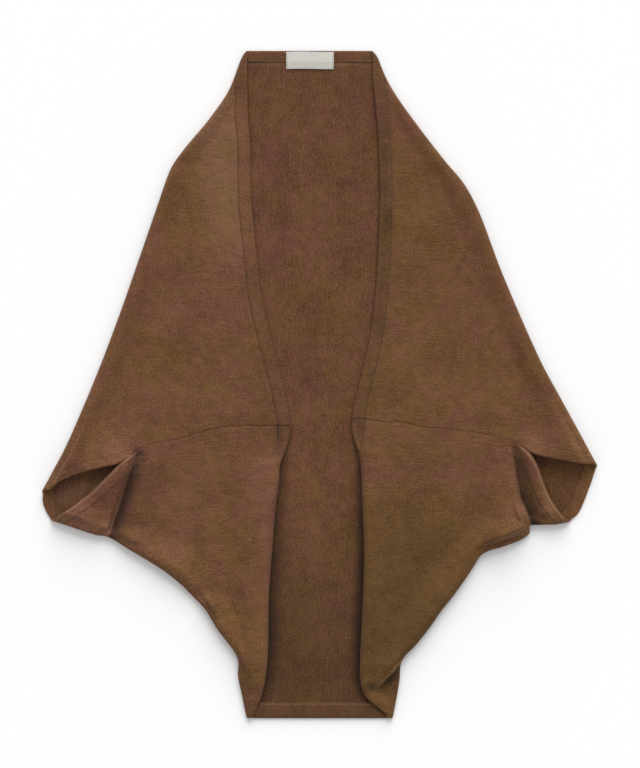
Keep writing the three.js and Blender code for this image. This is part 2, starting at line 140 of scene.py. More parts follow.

# %% [markdown]
# ## Tables of the cloth's lines
# A maker would chalk these lines on the cloth: the front edges, the folded outlines, the seams and
# the armholes. Each row is x, y and, for an edge, the radius of the turn there. A crease runs from
# one point to another, with its height (minus for a trough), its width on the left and on the right
# of the line, and the share of its height that is left at each end. A tone is a stroke of the same
# kind for the colour: the height is how much lighter it gets (minus for darker), and one number
# more makes it lean to red (minus: to olive).
# Most tones are painted light: painted shade in troughs, pits and beside overhanging folds, and
# painted highlights on rims and on slopes that face the light. The broad, faint strokes lean the
# hue.

# %% Left side
LEFT = {
    "slack_shift": -1,
    "upper_edge": [
        (-85.8, 399.2, 0.4), (-87.4, 389, 0.8), (-87.4, 353, 0.9), (-86.8, 320, 1), (-84, 287, 1.1),
        (-83, 221, 1.2), (-77, 161, 1.2), (-70, 101, 1.2), (-62, 64, 1.2), (-52, 25, 1.1),
        (-42, -15, 1), (-36, -49, 1)],
    "upper_outline": [
        (-86.6, 399.7, 0.7), (-90.6, 395.4, 1.1), (-93.8, 389, 1.6), (-107.8, 353, 2.6),
        (-130.8, 319, 3.4), (-160.6, 283, 4), (-174.5, 264, 4.1), (-179.9, 253, 4.2),
        (-195.3, 209, 4.4), (-216, 149, 4.4), (-237, 89, 4.4), (-259.4, 29, 4.6), (-284, -31, 5),
        (-305.4, -79, 6), (-329, -122, 6.5)],
    "lower_edge": [
        (-36, -49.7, 1), (-38, -67, 1.3), (-43, -83, 2.4), (-48, -98, 4), (-49, -117, 5.4),
        (-52, -141, 6.2), (-55, -171, 6.6), (-58, -211, 7), (-61, -251, 7.2), (-62, -314, 6.8),
        (-65, -349, 5.4), (-71, -376, 3), (-79, -395, 1.6), (-81.5, -399.4, 0.7)],
    "lower_outline": [
        (-315, -164, 6), (-293, -171.5, 6.2), (-268, -179.5, 5), (-253.5, -182, 3.7),
        (-227, -197.5, 5.6), (-188.5, -221, 6.4), (-165.5, -239, 5.4), (-149.8, -255, 3.6),
        (-138, -267, 6), (-121.6, -293, 6.6), (-97.4, -328, 5.6), (-97, -349, 3.4),
        (-93, -369, 2.4), (-87.6, -395, 1.7), (-86.4, -399.6, 0.8)],
    "seam": [
        (-36, -49), (-73, -49), (-113, -50), (-135, -55), (-165, -64), (-191, -69), (-215, -77)],
    "armhole": [
        (-215, -77), (-228, -86), (-241, -93), (-263, -98), (-293, -106), (-314, -114),
        (-329, -122)],
    "cuff": [(-215, -77), (-229, -88), (-241, -99), (-257, -115), (-283, -139), (-315, -164)],
    "back_armhole": [(-330, -130), (-330.6, -140), (-326.5, -152), (-321, -160)],
    "creases": [
        (-221, -84, -256, -188, -12, 11, 2.6, 0.5, 0.9),
        (-200, -82, -232, -190, 10, 16, 34, 0.2, 0.5),
        (-236, -104, -300, -160, 9, 20, 22, 0.7, 0.5),
        (-232, -92, -300, -108, 12, 26, 34, 0.6, 0.4),
        (-136, -150, -133, -268, 7, 9, 26, 0.05, 1),
        (-148, -170, -148, -268, -5, 12, 8, 0.05, 1),
        (-98, -326, -82, -350, 4, 12, 6, 0.8, 0.1)],
    # painted shade and painted highlights, and a few broad strokes that lean the hue
    "tones": [
        (-125, 329, -104, 160, 0.23, 46, 40, 0.8, 0.5, 0.6),
        (-219, -84, -252, -184, -0.82, 14, 1.1, 0.7, 0.95, 0),
        (-240, -90, -290, -150, 0.02, 45, 45, 0.9, 0.9, 18),
        (-221, -88, -254, -184, 0.22, 1.2, 4, 0.3, 0.9, 0),
        (-241, -96.5, -214, -76.5, 0.4, 1.2, 1.2, 0.9, 0.6, 0),
        (-239, -98.5, -213, -79, -0.4, 1, 2.2, 0.8, 0.4, 0),
        (-254, -116, -300, -156, 0.1, 12, 12, 0.6, 0.6, 0.4),
        (-302, -161, -252, -174, 0.2, 7, 7, 0.8, 0.7, -0.5),
        (-50, -53, -49, -84, -0.32, 6, 7, 0.9, 0.3, 0.6),
        (-110, -200, -90, -320, 0.03, 50, 50, 0.6, 1, -4),
        (-80, -100, -80, -160, 0.02, 35, 35, 0.8, 0.8, 12),
        (-92, 300, -84, 170, 0.1, 10, 10, 0.8, 0.6, 1),
        (-143, -127, -143, -263, -0.1, 8, 8, 0.3, 0.8, 0),
        (-84, -360, -76, -396, -0.22, 26, 26, 0.5, 1, -0.5),
        (-98, -327, -84, -345, -0.35, 1.4, 4, 0.9, 0.5, 0)],
}

# %% Right side
RIGHT = {
    "slack_shift": 1,
    "upper_edge": [
        (61.6, 399.2, 0.4), (64, 391, 0.8), (65, 365, 0.9), (68, 335, 1), (71, 299, 1.1),
        (73, 245, 1.2), (73, 215, 1.2), (70, 137, 1.2), (63, 65, 1.2), (50, 5, 1.1), (43, -22, 1),
        (40, -41, 1)],
    "upper_outline": [
        (62.6, 399.7, 0.7), (66.8, 395.4, 1.1), (69.4, 391, 1.5), (78.4, 369, 2.2), (91.4, 346, 3),
        (120.8, 305, 3.8), (151.1, 266, 4), (172, 241, 4.2), (189.4, 209, 4.4), (215.6, 140, 4.4),
        (238.2, 86, 4.4), (254.6, 49, 4.5), (268.3, 20, 4.6), (289, -18, 5), (309.2, -55, 6),
        (328.6, -91, 6.5)],
    "lower_edge": [
        (40, -41.7, 1), (40, -56, 1.2), (43, -70, 2), (47, -83, 3.4), (50, -107, 5), (51, -139, 6),
        (53, -187, 6.6), (53, -229, 7), (51, -283, 7.2), (49, -331, 6.4), (50, -359, 4.4),
        (56, -374, 3), (80, -395, 1.6), (83, -399.4, 0.7)],
    "lower_outline": [
        (293, -165, 5.4), (282, -167.5, 5.4), (266, -167.5, 4.5), (251, -169, 4.2),
        (251.5, -177, 3.7), (241.5, -185.3, 4.6), (223, -192.5, 6.5), (194.5, -203, 5),
        (182, -221, 5.6), (162.5, -249, 6.4), (145.8, -270, 6.4), (131.2, -291, 6.4),
        (115.8, -310.5, 6), (98, -331, 5.4), (95, -356, 3.2), (88, -395, 1.7), (87, -399.6, 0.8)],
    "seam": [(40, -41), (56, -41), (75, -44), (100, -45), (121, -50), (193, -58), (235, -69)],
    "armhole": [(235, -69), (246, -76), (258, -82), (289, -88), (310, -91), (328.6, -91)],
    "cuff": [(235, -69), (245, -77), (254, -88), (260, -99), (266, -115), (277, -141), (293, -165)],
    "back_armhole": [(330.4, -99), (322, -124), (308.8, -154), (300, -161.5)],
    "creases": [
        (232, -78, 242, -134, -11, 10, 2.8, 0.5, 0.5),
        (242, -134, 256, -170, -12, 10, 2.8, 0.5, 0.9),
        (222, -92, 238, -172, 13, 12, 34, 0.2, 0.9),
        (252, -86, 272, -160, 8, 14, 18, 0.7, 0.4),
        (262, -84, 318, -92, 12, 34, 26, 0.7, 0.4),
        (196, -190, 240, -172, 6, 26, 10, 0.5, 0.6),
        (97, -332, 70, -361, 6.5, 2.4, 12, 0.9, 0.4),
        (92, -350, 66, -366, -4, 8, 7, 0.6, 0.8)],
    # painted shade and painted highlights, and a few broad strokes that lean the hue
    "tones": [
        (232, -78, 242, -134, -0.66, 10, 1.4, 0.6, 0.5, 0),
        (242, -134, 256, -170, -0.95, 12, 1.4, 0.5, 1, -0.4),
        (236, -75, 246, -83, -0.35, 1.2, 1.2, 0.6, 0.8, 0),
        (243, -86, 253, -115, -0.12, 1.6, 1.6, 0.6, 0.9, 0),
        (253, -115, 271, -163, -0.14, 1.6, 1.6, 0.9, 0.9, 0),
        (47, -46, 52, -96, -0.26, 6, 5, 0.9, 0.5, 0.5),
        (110, 20, 100, -60, 0.02, 45, 45, 0.8, 0.8, 14),
        (77, 330, 80, 200, -0.13, 7, 7, 0.7, 1, -1),
        (80, 200, 70, 60, -0.13, 7, 7, 1, 0.6, -1),
        (250, -92, 279, -160, 0.12, 5, 5, 0.6, 0.9, 0),
        (140, 190, 165, 30, -0.03, 60, 80, 0.8, 0.5, -9),
        (130, -110, 100, -310, -0.29, 70, 90, 0.25, 1, -5),
        (60, -360, 63, -362, -0.45, 4.5, 4.5, 0.8, 0.8, 0),
        (97, -331, 71, -360, 0.7, 1.3, 1.3, 0.9, 0.7, 0),
        (99, -333.5, 72, -363, -0.5, 8, 1.2, 0.9, 0.8, 0),
        (57, -366, 78, -380, 0.14, 5, 5, 0.8, 0.8, 0)],
}
SIDES = {"left": LEFT, "right": RIGHT}
for name, side in SIDES.items():
    print(name, len(side["creases"]), "creases and", len(side["tones"]), "strokes of tone")

# %% [markdown]
# ## Soft curves
# Cloth has no corners between the points of a table, so each table is read as a curve that passes
# through every point. A centripetal Catmull-Rom curve does that without loops or overshoot, and it
# is the curve that the solid model uses, so both follow the same lines.

# %% Soft curves
CURVE_SAMPLES = 2400


def smooth(share):
    """Eases from 0 to 1 with a level start and end."""
    c = np.clip(share, 0, 1)
    return c * c * (3 - 2 * c)


def mix(a, b, share):
    return a + (b - a) * share


class SoftCurve:
    """A smooth curve through a table's rows, read by the share of its length."""

    def __init__(self, rows):
        rows = np.array(rows, float)
        self.radii = rows[:, 2] if rows.shape[1] > 2 else None
        knots = rows[:, :2]
        ends = np.vstack([2 * knots[0] - knots[1], knots, 2 * knots[-1] - knots[-2]])
        place = np.linspace(0, len(knots) - 1, CURVE_SAMPLES + 1)
        first = np.minimum(place.astype(int), len(knots) - 2)
        w = (place - first)[:, None]
        p0, p1, p2, p3 = (ends[first + k] for k in range(4))
        d0, d1, d2 = (np.sqrt(np.linalg.norm(b - a, axis=1))[:, None]
                      for a, b in ((p0, p1), (p1, p2), (p2, p3)))
        m1 = ((p1 - p0) / d0 - (p2 - p0) / (d0 + d1) + (p2 - p1) / d1) * d1
        m2 = ((p2 - p1) / d1 - (p3 - p1) / (d1 + d2) + (p3 - p2) / d2) * d1
        self.xy = (p1 + m1 * w + (3 * (p2 - p1) - 2 * m1 - m2) * w**2
                   + (2 * (p1 - p2) + m1 + m2) * w**3)
        lengths = np.concatenate([[0], np.cumsum(np.linalg.norm(np.diff(self.xy, axis=0), axis=1))])
        self.length = lengths[-1]
        self.share = lengths / self.length
        self.marks = np.interp(np.arange(len(knots)), place, self.share)

    def point(self, share):
        share = np.clip(share, 0, 1)
        return np.stack([np.interp(share, self.share, self.xy[:, k]) for k in (0, 1)], axis=-1)

    def tangent(self, share, step=0.001):
        ahead = self.point(np.asarray(share) + step) - self.point(np.asarray(share) - step)
        return ahead / np.linalg.norm(ahead, axis=-1, keepdims=True)

    def radius(self, share):
        share = np.asarray(share, float)
        i = np.clip(np.searchsorted(self.marks, share), 1, len(self.marks) - 1)
        part = smooth((share - self.marks[i - 1]) / (self.marks[i] - self.marks[i - 1]))
        return mix(self.radii[i - 1], self.radii[i], part)


print("left seam", round(SoftCurve(LEFT["seam"]).length), "mm, right seam",
      round(SoftCurve(RIGHT["seam"]).length), "mm")

# %% [markdown]
# ## Height of the cloth
# Creases are soft ridges and troughs of uneven length. Wool jersey never lies quite level either,
# so a few long waves of different lengths give it slack. Nothing is drawn at random: the same
# place always gets the same height.

# %% Creases and slack
END_FADE = 4                     # how fast a crease dies away past its ends
WAVE_BEND = 1.7                  # how much one wave bends the next


def soft_line(distance, width):
    """1 on a line, falling off softly to both sides over the width."""
    return np.exp(-((distance / width) ** 2))


def crease_height(row, x, y):
    x1, y1, x2, y2, height, left_width, right_width, start_share, end_share = row
    length = np.hypot(x2 - x1, y2 - y1)
    along = ((x - x1) * (x2 - x1) + (y - y1) * (y2 - y1)) / length
    across = ((x - x1) * (y2 - y1) - (y - y1) * (x2 - x1)) / length
    width = np.where(across < 0, left_width, right_width)
    end_height = mix(start_share, end_share, smooth(along / length))
    middle = np.sin(np.pi * np.clip(along / length, 0, 1))
    fullness = mix(end_height, 1, middle * (1 - max(start_share, end_share) / 2))
    past = np.maximum(0, np.maximum(-along, along - length)) / (left_width + right_width)
    return height * fullness * np.exp(-END_FADE * past * past - (across / width) ** 2)


UNEVEN_WAVES = [                 # wavelength, direction in degrees, shift, height
    (41, 12, 0.3, 0.16), (29, 74, 1.9, 0.13), (19, 138, 4.1, 0.09), (13, 31, 2.6, 0.06),
    (9, 102, 5.2, 0.04)]


def unevenness(x, y):
    """Small waves over the whole cloth, from 9 to 41 mm long, each bent by the one before."""
    total, bend = np.zeros(np.shape(x)), 0.0
    for wavelength, degrees, shift, height in UNEVEN_WAVES:
        a = np.radians(degrees)
        wave = np.sin(2 * np.pi * (x * np.cos(a) + y * np.sin(a)) / wavelength + shift + bend)
        bend = WAVE_BEND * wave
        total = total + height * wave
    return total


def larger(a, b, blend=0.9):
    """The larger of two heights, with the corner between them rounded."""
    return (a + b + np.sqrt((a - b) ** 2 + blend**2)) / 2


print("unevenness at the middle", round(float(unevenness(0.0, 0.0)), 2), "mm")

# %% [markdown]
# ## Sewing lines
# Every edge is turned under once and sewn down near the turned part's raw edge. The thread sinks
# into a groove, and the cloth steps down there from two layers to one. Both are part of the cloth's
# form, so they are modelled and not only painted.

# %% Sewn bands
SEWING_LINE = 13.2               # distance of the sewing line from a turned edge
GROOVE_DEPTH = 0.55
GROOVE_WIDTH = 0.95
BAND_STEP = 0.55
BAND_STEP_WIDTH = 1.8


def sewn_band(distance):
    """Height along a sewn hem, by the distance from its turned edge."""
    past_line = distance - SEWING_LINE
    groove = -GROOVE_DEPTH * soft_line(past_line, GROOVE_WIDTH)
    return groove + BAND_STEP * (1 - smooth(past_line / BAND_STEP_WIDTH + 0.5))


print("sewing line", SEWING_LINE, "mm from the edge, groove", GROOVE_DEPTH, "mm deep")


# %% [markdown]
# ## The form of a front
# A front is described by two shares: `s` runs across it, from its front edge to the folded outline,
# and `t` runs down it, from its free tip to the level seam. `plan` gives the place seen from above
# and `top` adds the height, with the fine relief on it. The hem under the edge and the fold to the
# back are added afterwards, as arcs that leave the top surface smoothly.

# %% Fine relief of a front
BAND_RISE = {"upper": 2.2, "lower": 0.0}     # how far the cloth climbs over the sewn band
RISE_START, RISE_END = 11, 55    # it climbs over the first of these and sinks over the second
RISE_FADES = 55                  # the fronts meet level in the seam
TIP_WIDTH = 9                    # narrower than this, a front is only its turned edge
TIP_GROWS = 60                   # it has its full relief once it is this much wider
SEAM_DIP, SEAM_DIP_WIDTH = 0.32, 1.5
SEAM_END = 12                    # past the seam's end, its relief fades over this length
PUCKER, PUCKER_LENGTH = 0.28, 17
PUCKER_START, PUCKER_REACH = 4, 9            # how near the seam puckers begin and die away


def fine_relief(front, s, t, x, y, from_edge, from_crossing, free, width):
    """What is too small for the solid: band, grooves, seam and the knit's unevenness."""
    band = front.band(t)
    roomy = smooth((width - TIP_WIDTH) / TIP_GROWS)
    climb = BAND_RISE[front.part] * roomy * smooth(from_edge / RISE_START)
    climb = climb * (1 - smooth((from_edge - HEM_WIDTH) / RISE_END))
    climb = climb * smooth(from_crossing / RISE_FADES)
    edge_grooves = sewn_band(from_edge + HEM_WIDTH * (1 - band)) * band
    edge_grooves = edge_grooves * smooth(width / TIP_WIDTH - 1)
    on_seam = 1 - smooth((s - front.seam_share) * width / SEAM_END - 1.5)
    dip = -SEAM_DIP * soft_line(from_crossing, SEAM_DIP_WIDTH) * on_seam
    puckers = PUCKER * on_seam * np.sin(2 * np.pi * x / PUCKER_LENGTH + 2.1 * np.sin(x / 23))
    puckers = puckers * np.exp(-from_crossing / PUCKER_REACH)
    puckers = puckers * smooth(from_crossing / PUCKER_START)
    opening_grooves = sewn_band(from_crossing) * (1 - on_seam)
    return climb + edge_grooves + dip + puckers + opening_grooves + free * unevenness(x, y)


print("puckers of", PUCKER, "mm, every", PUCKER_LENGTH, "mm of the seam")

# %% The form of a front
BAND_ROLLS = 62                  # a lower front's band rolls under over this length
CUFF_TURN = 30                   # a fold slides to the back's armhole over this length
CUFF_FLATTENS = 0.42
CORNER_FILL = 0.35               # share of the lower rise that adds to the higher one
SLACK_MIDDLE, SLACK_ACROSS, SLACK_DOWN = 1.1, 47, 61         # its mean and its waves' lengths
HEM_EASE = 2                     # the room over an edge's hem reaches this far past it
ARMHOLE_EASE = 1.3               # and the room over an armhole's hem this many times its width


class Front:
    """One front between its lines, read by the shares s across it and t down to its seam."""

    def __init__(self, side, part):
        self.side, self.part, self.upper = side, part, part == "upper"
        self.edge = SoftCurve(side[part + "_edge"])
        self.outline = SoftCurve(side[part + "_outline"])
        self.seam = SoftCurve(side["seam"])
        self.opening = SoftCurve(side["armhole" if self.upper else "cuff"])
        self.seam_share = self.seam.length / (self.seam.length + self.opening.length)
        self.corners = self.crossing(np.array([0.0, 1.0]))
        corner = side["back_armhole"][0 if self.upper else -1]
        inward = self.inward(np.array(1.0))
        self.slide = corner - self.plan(1.0, 1.0) - inward * (FOOT_GAP + self.fold(np.array(1.0)))

    def along(self, t):
        return t if self.upper else 1 - t

    def crossing(self, s):
        on_seam = self.seam.point(s / self.seam_share)
        on_opening = self.opening.point((s - self.seam_share) / (1 - self.seam_share))
        place = np.where((s < self.seam_share)[..., None], on_seam, on_opening)
        return place - [0, 0 if self.upper else CUFF_DROP]

    def plan(self, s, t):
        s, t = np.broadcast_arrays(s, t)
        line = mix(self.edge.point(self.along(t)), self.outline.point(self.along(t)), s[..., None])
        straight = mix(self.corners[0], self.corners[1], s[..., None])
        return line + (self.crossing(s) - straight) * (t**SEAM_PULL)[..., None]

    def width(self, t):
        return np.linalg.norm(self.plan(0.0, t) - self.plan(1.0, t), axis=-1)

    def inward(self, t):
        """Level direction from the outline into the cloth."""
        tangent = self.outline.tangent(self.along(t), 0.01)
        normal = np.stack([-tangent[..., 1], tangent[..., 0]], axis=-1)
        into = np.sum(normal * (self.plan(0.5, t) - self.plan(1.0, t)), axis=-1, keepdims=True)
        return np.where(into < 0, -normal, normal)

    def edge_inward(self, t):
        step = self.plan(0.1, t) - self.plan(0.0, t)
        return step / np.linalg.norm(step, axis=-1, keepdims=True)

    def turn(self, t):
        return self.edge.radius(self.along(t))

    def fold(self, t):
        return self.outline.radius(self.along(t))

    def fold_end(self, t):
        """0 along most of a fold and 1 at its end, beside the armhole."""
        return smooth(1 - (1 - t) * self.outline.length / CUFF_TURN)

    def foot_slide(self, t):
        """How far a fold's foot moves towards the back's armhole, so that the opening is round."""
        return self.slide * self.fold_end(t)[..., None]

    def band(self, t):
        """How much of the sewn band shows: all of it above, rolled under further down."""
        if self.upper:
            return np.ones(np.shape(t))
        return 1 - smooth((1 - t) * self.edge.length / BAND_ROLLS)

    def top(self, s, t):
        """Middle of the wall at share s of the way from the edge's turn to the fold."""
        s, t = np.broadcast_arrays(s, t)
        width, turn, fold = self.width(t), self.turn(t), self.fold(t)
        reach = self.inward(t) * (fold * s**FOOT_EASE)[..., None]
        place = self.plan(mix(turn / width, 1, s), t) + reach
        x, y = place[..., 0], place[..., 1]
        from_edge, from_fold = s * width, (1 - s) * width
        edge_rise = 2 * turn * (1 - smooth(from_edge / (HEM_WIDTH + EDGE_REACH * turn)))
        fold_top = BACK_MIDDLE + 2 * fold - ON_BACK
        fold_rise = fold_top * (1 - smooth(from_fold / (FOLD_REACH * fold)))
        rises = np.maximum(edge_rise, fold_rise) + CORNER_FILL * np.minimum(edge_rise, fold_rise)
        free = smooth(from_edge / FREE_MARGIN) * smooth(from_fold / FREE_MARGIN)
        creases = sum(crease_height(row, x, y) for row in self.side["creases"])
        waves = np.sin(x / SLACK_ACROSS + self.side["slack_shift"]) * np.sin(y / SLACK_DOWN + 0.6)
        slack = SLACK * (SLACK_MIDDLE + waves)
        over_edge_hem = 1 - smooth((from_edge - HEM_WIDTH - HEM_EASE) / HEM_WIDTH)
        from_crossing = (1 - t) * self.outline.length
        from_opening = np.where(s > self.seam_share, from_crossing, 3 * HEM_WIDTH)
        over_armhole_hem = 1 - smooth((from_opening - ARMHOLE_EASE * HEM_WIDTH) / HEM_WIDTH)
        hem_room = 2 * HEM_TURN * np.maximum(over_edge_hem, over_armhole_hem)
        height = larger(hem_room, rises + free * (creases + slack))
        height = height + fine_relief(self, s, t, x, y, from_edge, from_crossing, free, width)
        return np.stack([x, y, ON_BACK + height], axis=-1)


fronts = {
    (name, part): Front(side, part) for name, side in SIDES.items() for part in ("upper", "lower")}
for (name, part), front in fronts.items():
    print(name, part, "front,", round(float(front.width(np.array(1.0)))), "mm wide at the seam")

# %% [markdown]
# ## From points to a piece of cloth
# Every stretch of cloth starts as a grid, as if cut from squared paper, and each point of the grid
# is then carried to its place. The grid keeps the cloth's own directions, so its UV map can hold
# true distances along the knit. A Solidify modifier then gives the sheet its thickness.

# %% A piece of cloth from a grid of points
SMOOTH_ANGLE = np.radians(50)


def cloth_piece(name, points, distances, thickness=CLOTH, tones=None):
    """A wall round a grid of middle points (rows, columns, 3) in mm, its UV map in metres."""
    rows, columns = points.shape[:2]
    bpy.ops.object.select_all(action="DESELECT")
    bpy.ops.mesh.primitive_grid_add(x_subdivisions=columns - 1, y_subdivisions=rows - 1, size=2)
    piece = bpy.context.object
    piece.name = piece.data.name = name
    mesh = piece.data
    flat = np.zeros(len(mesh.vertices) * 3)
    mesh.vertices.foreach_get("co", flat)
    flat = flat.reshape(-1, 3)
    column = np.rint((flat[:, 0] + 1) / 2 * (columns - 1)).astype(int)
    row = np.rint((1 - flat[:, 1]) / 2 * (rows - 1)).astype(int)
    mesh.vertices.foreach_set("co", (points[row, column] * MM).ravel())
    corner = np.zeros(len(mesh.loops), dtype=np.int32)
    mesh.loops.foreach_get("vertex_index", corner)
    mesh.uv_layers[0].data.foreach_set("uv", (distances[row, column][corner] * MM).ravel())
    for title, values in (tones or {}).items():
        tone = mesh.attributes.new(title, "FLOAT", "POINT")
        tone.data.foreach_set("value", values[row, column].astype(np.float32))
    mesh.update()
    solid = piece.modifiers.new("thickness", "SOLIDIFY")
    solid.thickness = thickness * MM
    solid.offset = 0
    bpy.ops.object.modifier_apply(modifier=solid.name)
    bpy.ops.object.shade_smooth_by_angle(angle=SMOOTH_ANGLE)
    print(name, len(mesh.polygons), "faces")
    return piece


def run_lengths(points, axis):
    """Distance covered along each row or column of a grid of points."""
    steps = np.linalg.norm(np.diff(points, axis=axis), axis=-1)
    start = np.zeros_like(np.take(steps, [0], axis=axis))
    return np.concatenate([start, np.cumsum(steps, axis=axis)], axis=axis)


# %% [markdown]
# ## Fronts
# The rows lie close together beside the seam and the armhole, and the columns close together beside
# the front edge, because the sewing lines there are only a few millimetres apart. Elsewhere the
# grid is wider, which keeps each front well under two hundred thousand triangles.

# %% Rows and columns of a front
FINE_STEP = 0.8                  # spacing beside seams and edges
FINE_REACH = 17.6
WIDE_ROWS = 140
SEAM_COLUMNS, OPENING_COLUMNS = 62, 96
HEM_COLUMNS, TURN_COLUMNS, FOLD_COLUMNS = 6, 8, 12
FIRST_TOP_COLUMN = HEM_COLUMNS + TURN_COLUMNS
FINE_STEPS = round(FINE_REACH / FINE_STEP)
FINE_SHARE = 0.45                # most of a narrow row that its fine columns take up


def fine_distances():
    return np.arange(FINE_STEPS + 1) * FINE_STEP


def row_shares(front):
    """Shares t from the free tip to the seam, finely spaced over the last of them."""
    near = FINE_REACH / front.outline.length
    fine = fine_distances() / front.outline.length
    wide = np.linspace(0, 1 - near, WIDE_ROWS, endpoint=False)
    return np.concatenate([wide, (1 - fine)[::-1]])


def column_shares(front, t):
    """Shares s for every row: finely spaced beside the edge, then in step with the seam's end."""
    width = front.width(t)[:, None]
    fine = fine_distances() / width
    fine = fine * np.minimum(1, FINE_SHARE * front.seam_share / fine[:, -1:])
    to_seam_end = mix(fine[:, -1:], front.seam_share, np.arange(1, SEAM_COLUMNS + 1) / SEAM_COLUMNS)
    beyond = mix(front.seam_share, 1, np.arange(1, OPENING_COLUMNS + 1) / OPENING_COLUMNS)
    return np.hstack([fine, to_seam_end, np.tile(beyond, (len(t), 1))])


print(FINE_STEPS + 1, "fine columns and", SEAM_COLUMNS + OPENING_COLUMNS, "wider ones in a front")


# %% Points and distances of a front
def with_height(xy, z):
    return np.concatenate([xy, np.broadcast_to(z, xy.shape[:-1])[..., None]], axis=-1)


def front_points(front):
    """All the points of a front, from the hem under its edge to the foot of its fold."""
    t = row_shares(front)
    top = front.top(column_shares(front, t), t[:, None])
    first, last = top[:, :1], top[:, -1:]
    into = front.edge_inward(t)[:, None]
    out = -front.inward(t)[:, None]
    radius = (first[..., 2] - ON_BACK) / 2
    hem = np.clip(np.linalg.norm(first - last, axis=-1) - HEM_END_ROOM, CLOTH / 2, HEM_WIDTH)
    back = np.arange(HEM_COLUMNS, 0, -1) / HEM_COLUMNS
    under = with_height(first[..., :2] + into * (hem * back)[..., None], ON_BACK)
    angle = np.pi * np.arange(TURN_COLUMNS) / TURN_COLUMNS
    turned = with_height(first[..., :2] - into * (radius * np.sin(angle))[..., None],
                         ON_BACK + radius * (1 - np.cos(angle)))
    angle = np.pi * np.arange(1, FOLD_COLUMNS + 1) / FOLD_COLUMNS
    fall = (last[..., 2] - BACK_MIDDLE) / 2
    bulge = (front.fold(t) * (1 - CUFF_FLATTENS * front.fold_end(t)))[:, None] * np.sin(angle)
    slide = front.foot_slide(t)[:, None] * ((1 - np.cos(angle)) / 2)[:, None]
    folded = with_height(last[..., :2] + out * bulge[..., None] + slide,
                         BACK_MIDDLE + fall * (1 + np.cos(angle)))
    return np.concatenate([under, turned, top, folded], axis=1)


def front_distances(points):
    """Distance along the cloth sideways and place on the page downwards, as the knit lies here."""
    level = run_lengths(points[..., [0, 2]], 1)
    level = level - level[:, [FIRST_TOP_COLUMN]]
    away = np.sign(points[:, -1:, 0] - points[:, :1, 0])
    return np.stack([points[:, [FIRST_TOP_COLUMN], 0] + away * level, points[..., 1]], axis=-1)


# %% Strokes of tone
FULL_LEAN = 0.12                 # a stroke of this strength gives its whole lean
BAND_DARKER = 0.14
BAND_EDGE = 1.5
# painted shade in the grooves of the sewing lines
LINE_DARKER = 0.36
RIM_LIGHTER, RIM_WIDTH = 0.5, 1.7            # a lower front's edge at the armhole faces the light


def stroke_tones(rows, x, y):
    """How much lighter and how much redder the strokes make each place."""
    strengths = [(crease_height(row[:9], x, y), row[9]) for row in rows]
    lighter = sum(strength for strength, _ in strengths)
    redder = sum(np.abs(strength) / FULL_LEAN * lean for strength, lean in strengths)
    return lighter, redder


def front_tones(front, points):
    """The strokes, the darker bands, painted shade in the sewing lines and a painted highlight on
    the rim.
    """
    lighter, redder = stroke_tones(front.side["tones"], points[..., 0], points[..., 1])
    across = run_lengths(points, 1)
    across = across - across[:, [FIRST_TOP_COLUMN]]
    t = row_shares(front)[:, None]
    shown = front.band(t)
    past_line = across + HEM_WIDTH * (1 - shown) - SEWING_LINE
    band = BAND_DARKER * shown * (1 - smooth(past_line / BAND_EDGE + 0.5))
    line = soft_line(past_line, GROOVE_WIDTH) * shown
    from_crossing = (1 - t) * front.outline.length
    beyond_seam = np.arange(points.shape[1]) > points.shape[1] - FOLD_COLUMNS - OPENING_COLUMNS
    below = soft_line(from_crossing - SEWING_LINE, GROOVE_WIDTH) * beyond_seam
    rim = 0 if front.upper else RIM_LIGHTER * beyond_seam * soft_line(from_crossing, RIM_WIDTH)
    lines = LINE_DARKER * np.maximum(line, below)
    return {"lighter": lighter - band - lines + rim, "redder": redder}


# %% The four fronts
made = {}
for (name, part), front in fronts.items():
    points = front_points(front)
    made[name, part] = cloth_piece(
        f"{name}_front_{part}_cloth", points, front_distances(points),
        tones=front_tones(front, points))

# %% [markdown]
# ## Back
# The back is the middle of the same cloth. Its sides follow the feet of the folds. Its rows are
# level, and they lie closer together where the outline runs nearly level too, at the cuffs.

# %% Back panel
FOOT_SAMPLES = 400
BACK_COLUMNS = 150
BACK_ROW = 4.4
CUFF_LEVELS = (-190, -90)        # the rows are finer between these
CUFF_ROW = 0.9
HEM_LIP = 1.55                   # what a turned edge takes up beyond the cloth it joins
NECK = {"y": 400, "ends": (-86, 62), "hem_ends": (-85.3, 61.3),
        "raw_y": 387, "raw_ends": (-85.8, 63), "darker": 0.14}
BOTTOM = {"y": -400, "ends": (-87, 88), "hem_ends": (-80.2, 81.6),
          "raw_y": -381.5, "raw_ends": (-71, 61), "darker": 0.33}
BACK_LIFT = 0.55                 # slack of the back, which grows from its sides
LIFT_GROWS = 20
LIFT_LEVEL = 0.35
LIFT_ACROSS, LIFT_DOWN = 0.6, 0.4            # scale of its waves, below 1 for longer ones


def foot_line(front):
    """Where a front's fold reaches the surface, moved in to leave the back its gap."""
    t = np.linspace(0, 1, FOOT_SAMPLES)
    foot = front.top(np.ones(len(t)), t)[:, :2] + front.foot_slide(t)
    return foot + front.inward(t) * FOOT_GAP


def back_side(name, end):
    """One side of the back as x and y, from the neck down. End 0 is the left."""
    armhole = SoftCurve(SIDES[name]["back_armhole"]).point(np.linspace(0, 1, 40))
    line = np.vstack([
        [(NECK["ends"][end], NECK["y"])], foot_line(fronts[name, "upper"]), armhole,
        foot_line(fronts[name, "lower"])[::-1], [(BOTTOM["ends"][end], BOTTOM["y"])]])
    return line[:, 0], np.minimum.accumulate(line[:, 1] - np.arange(len(line)) * 1e-6)


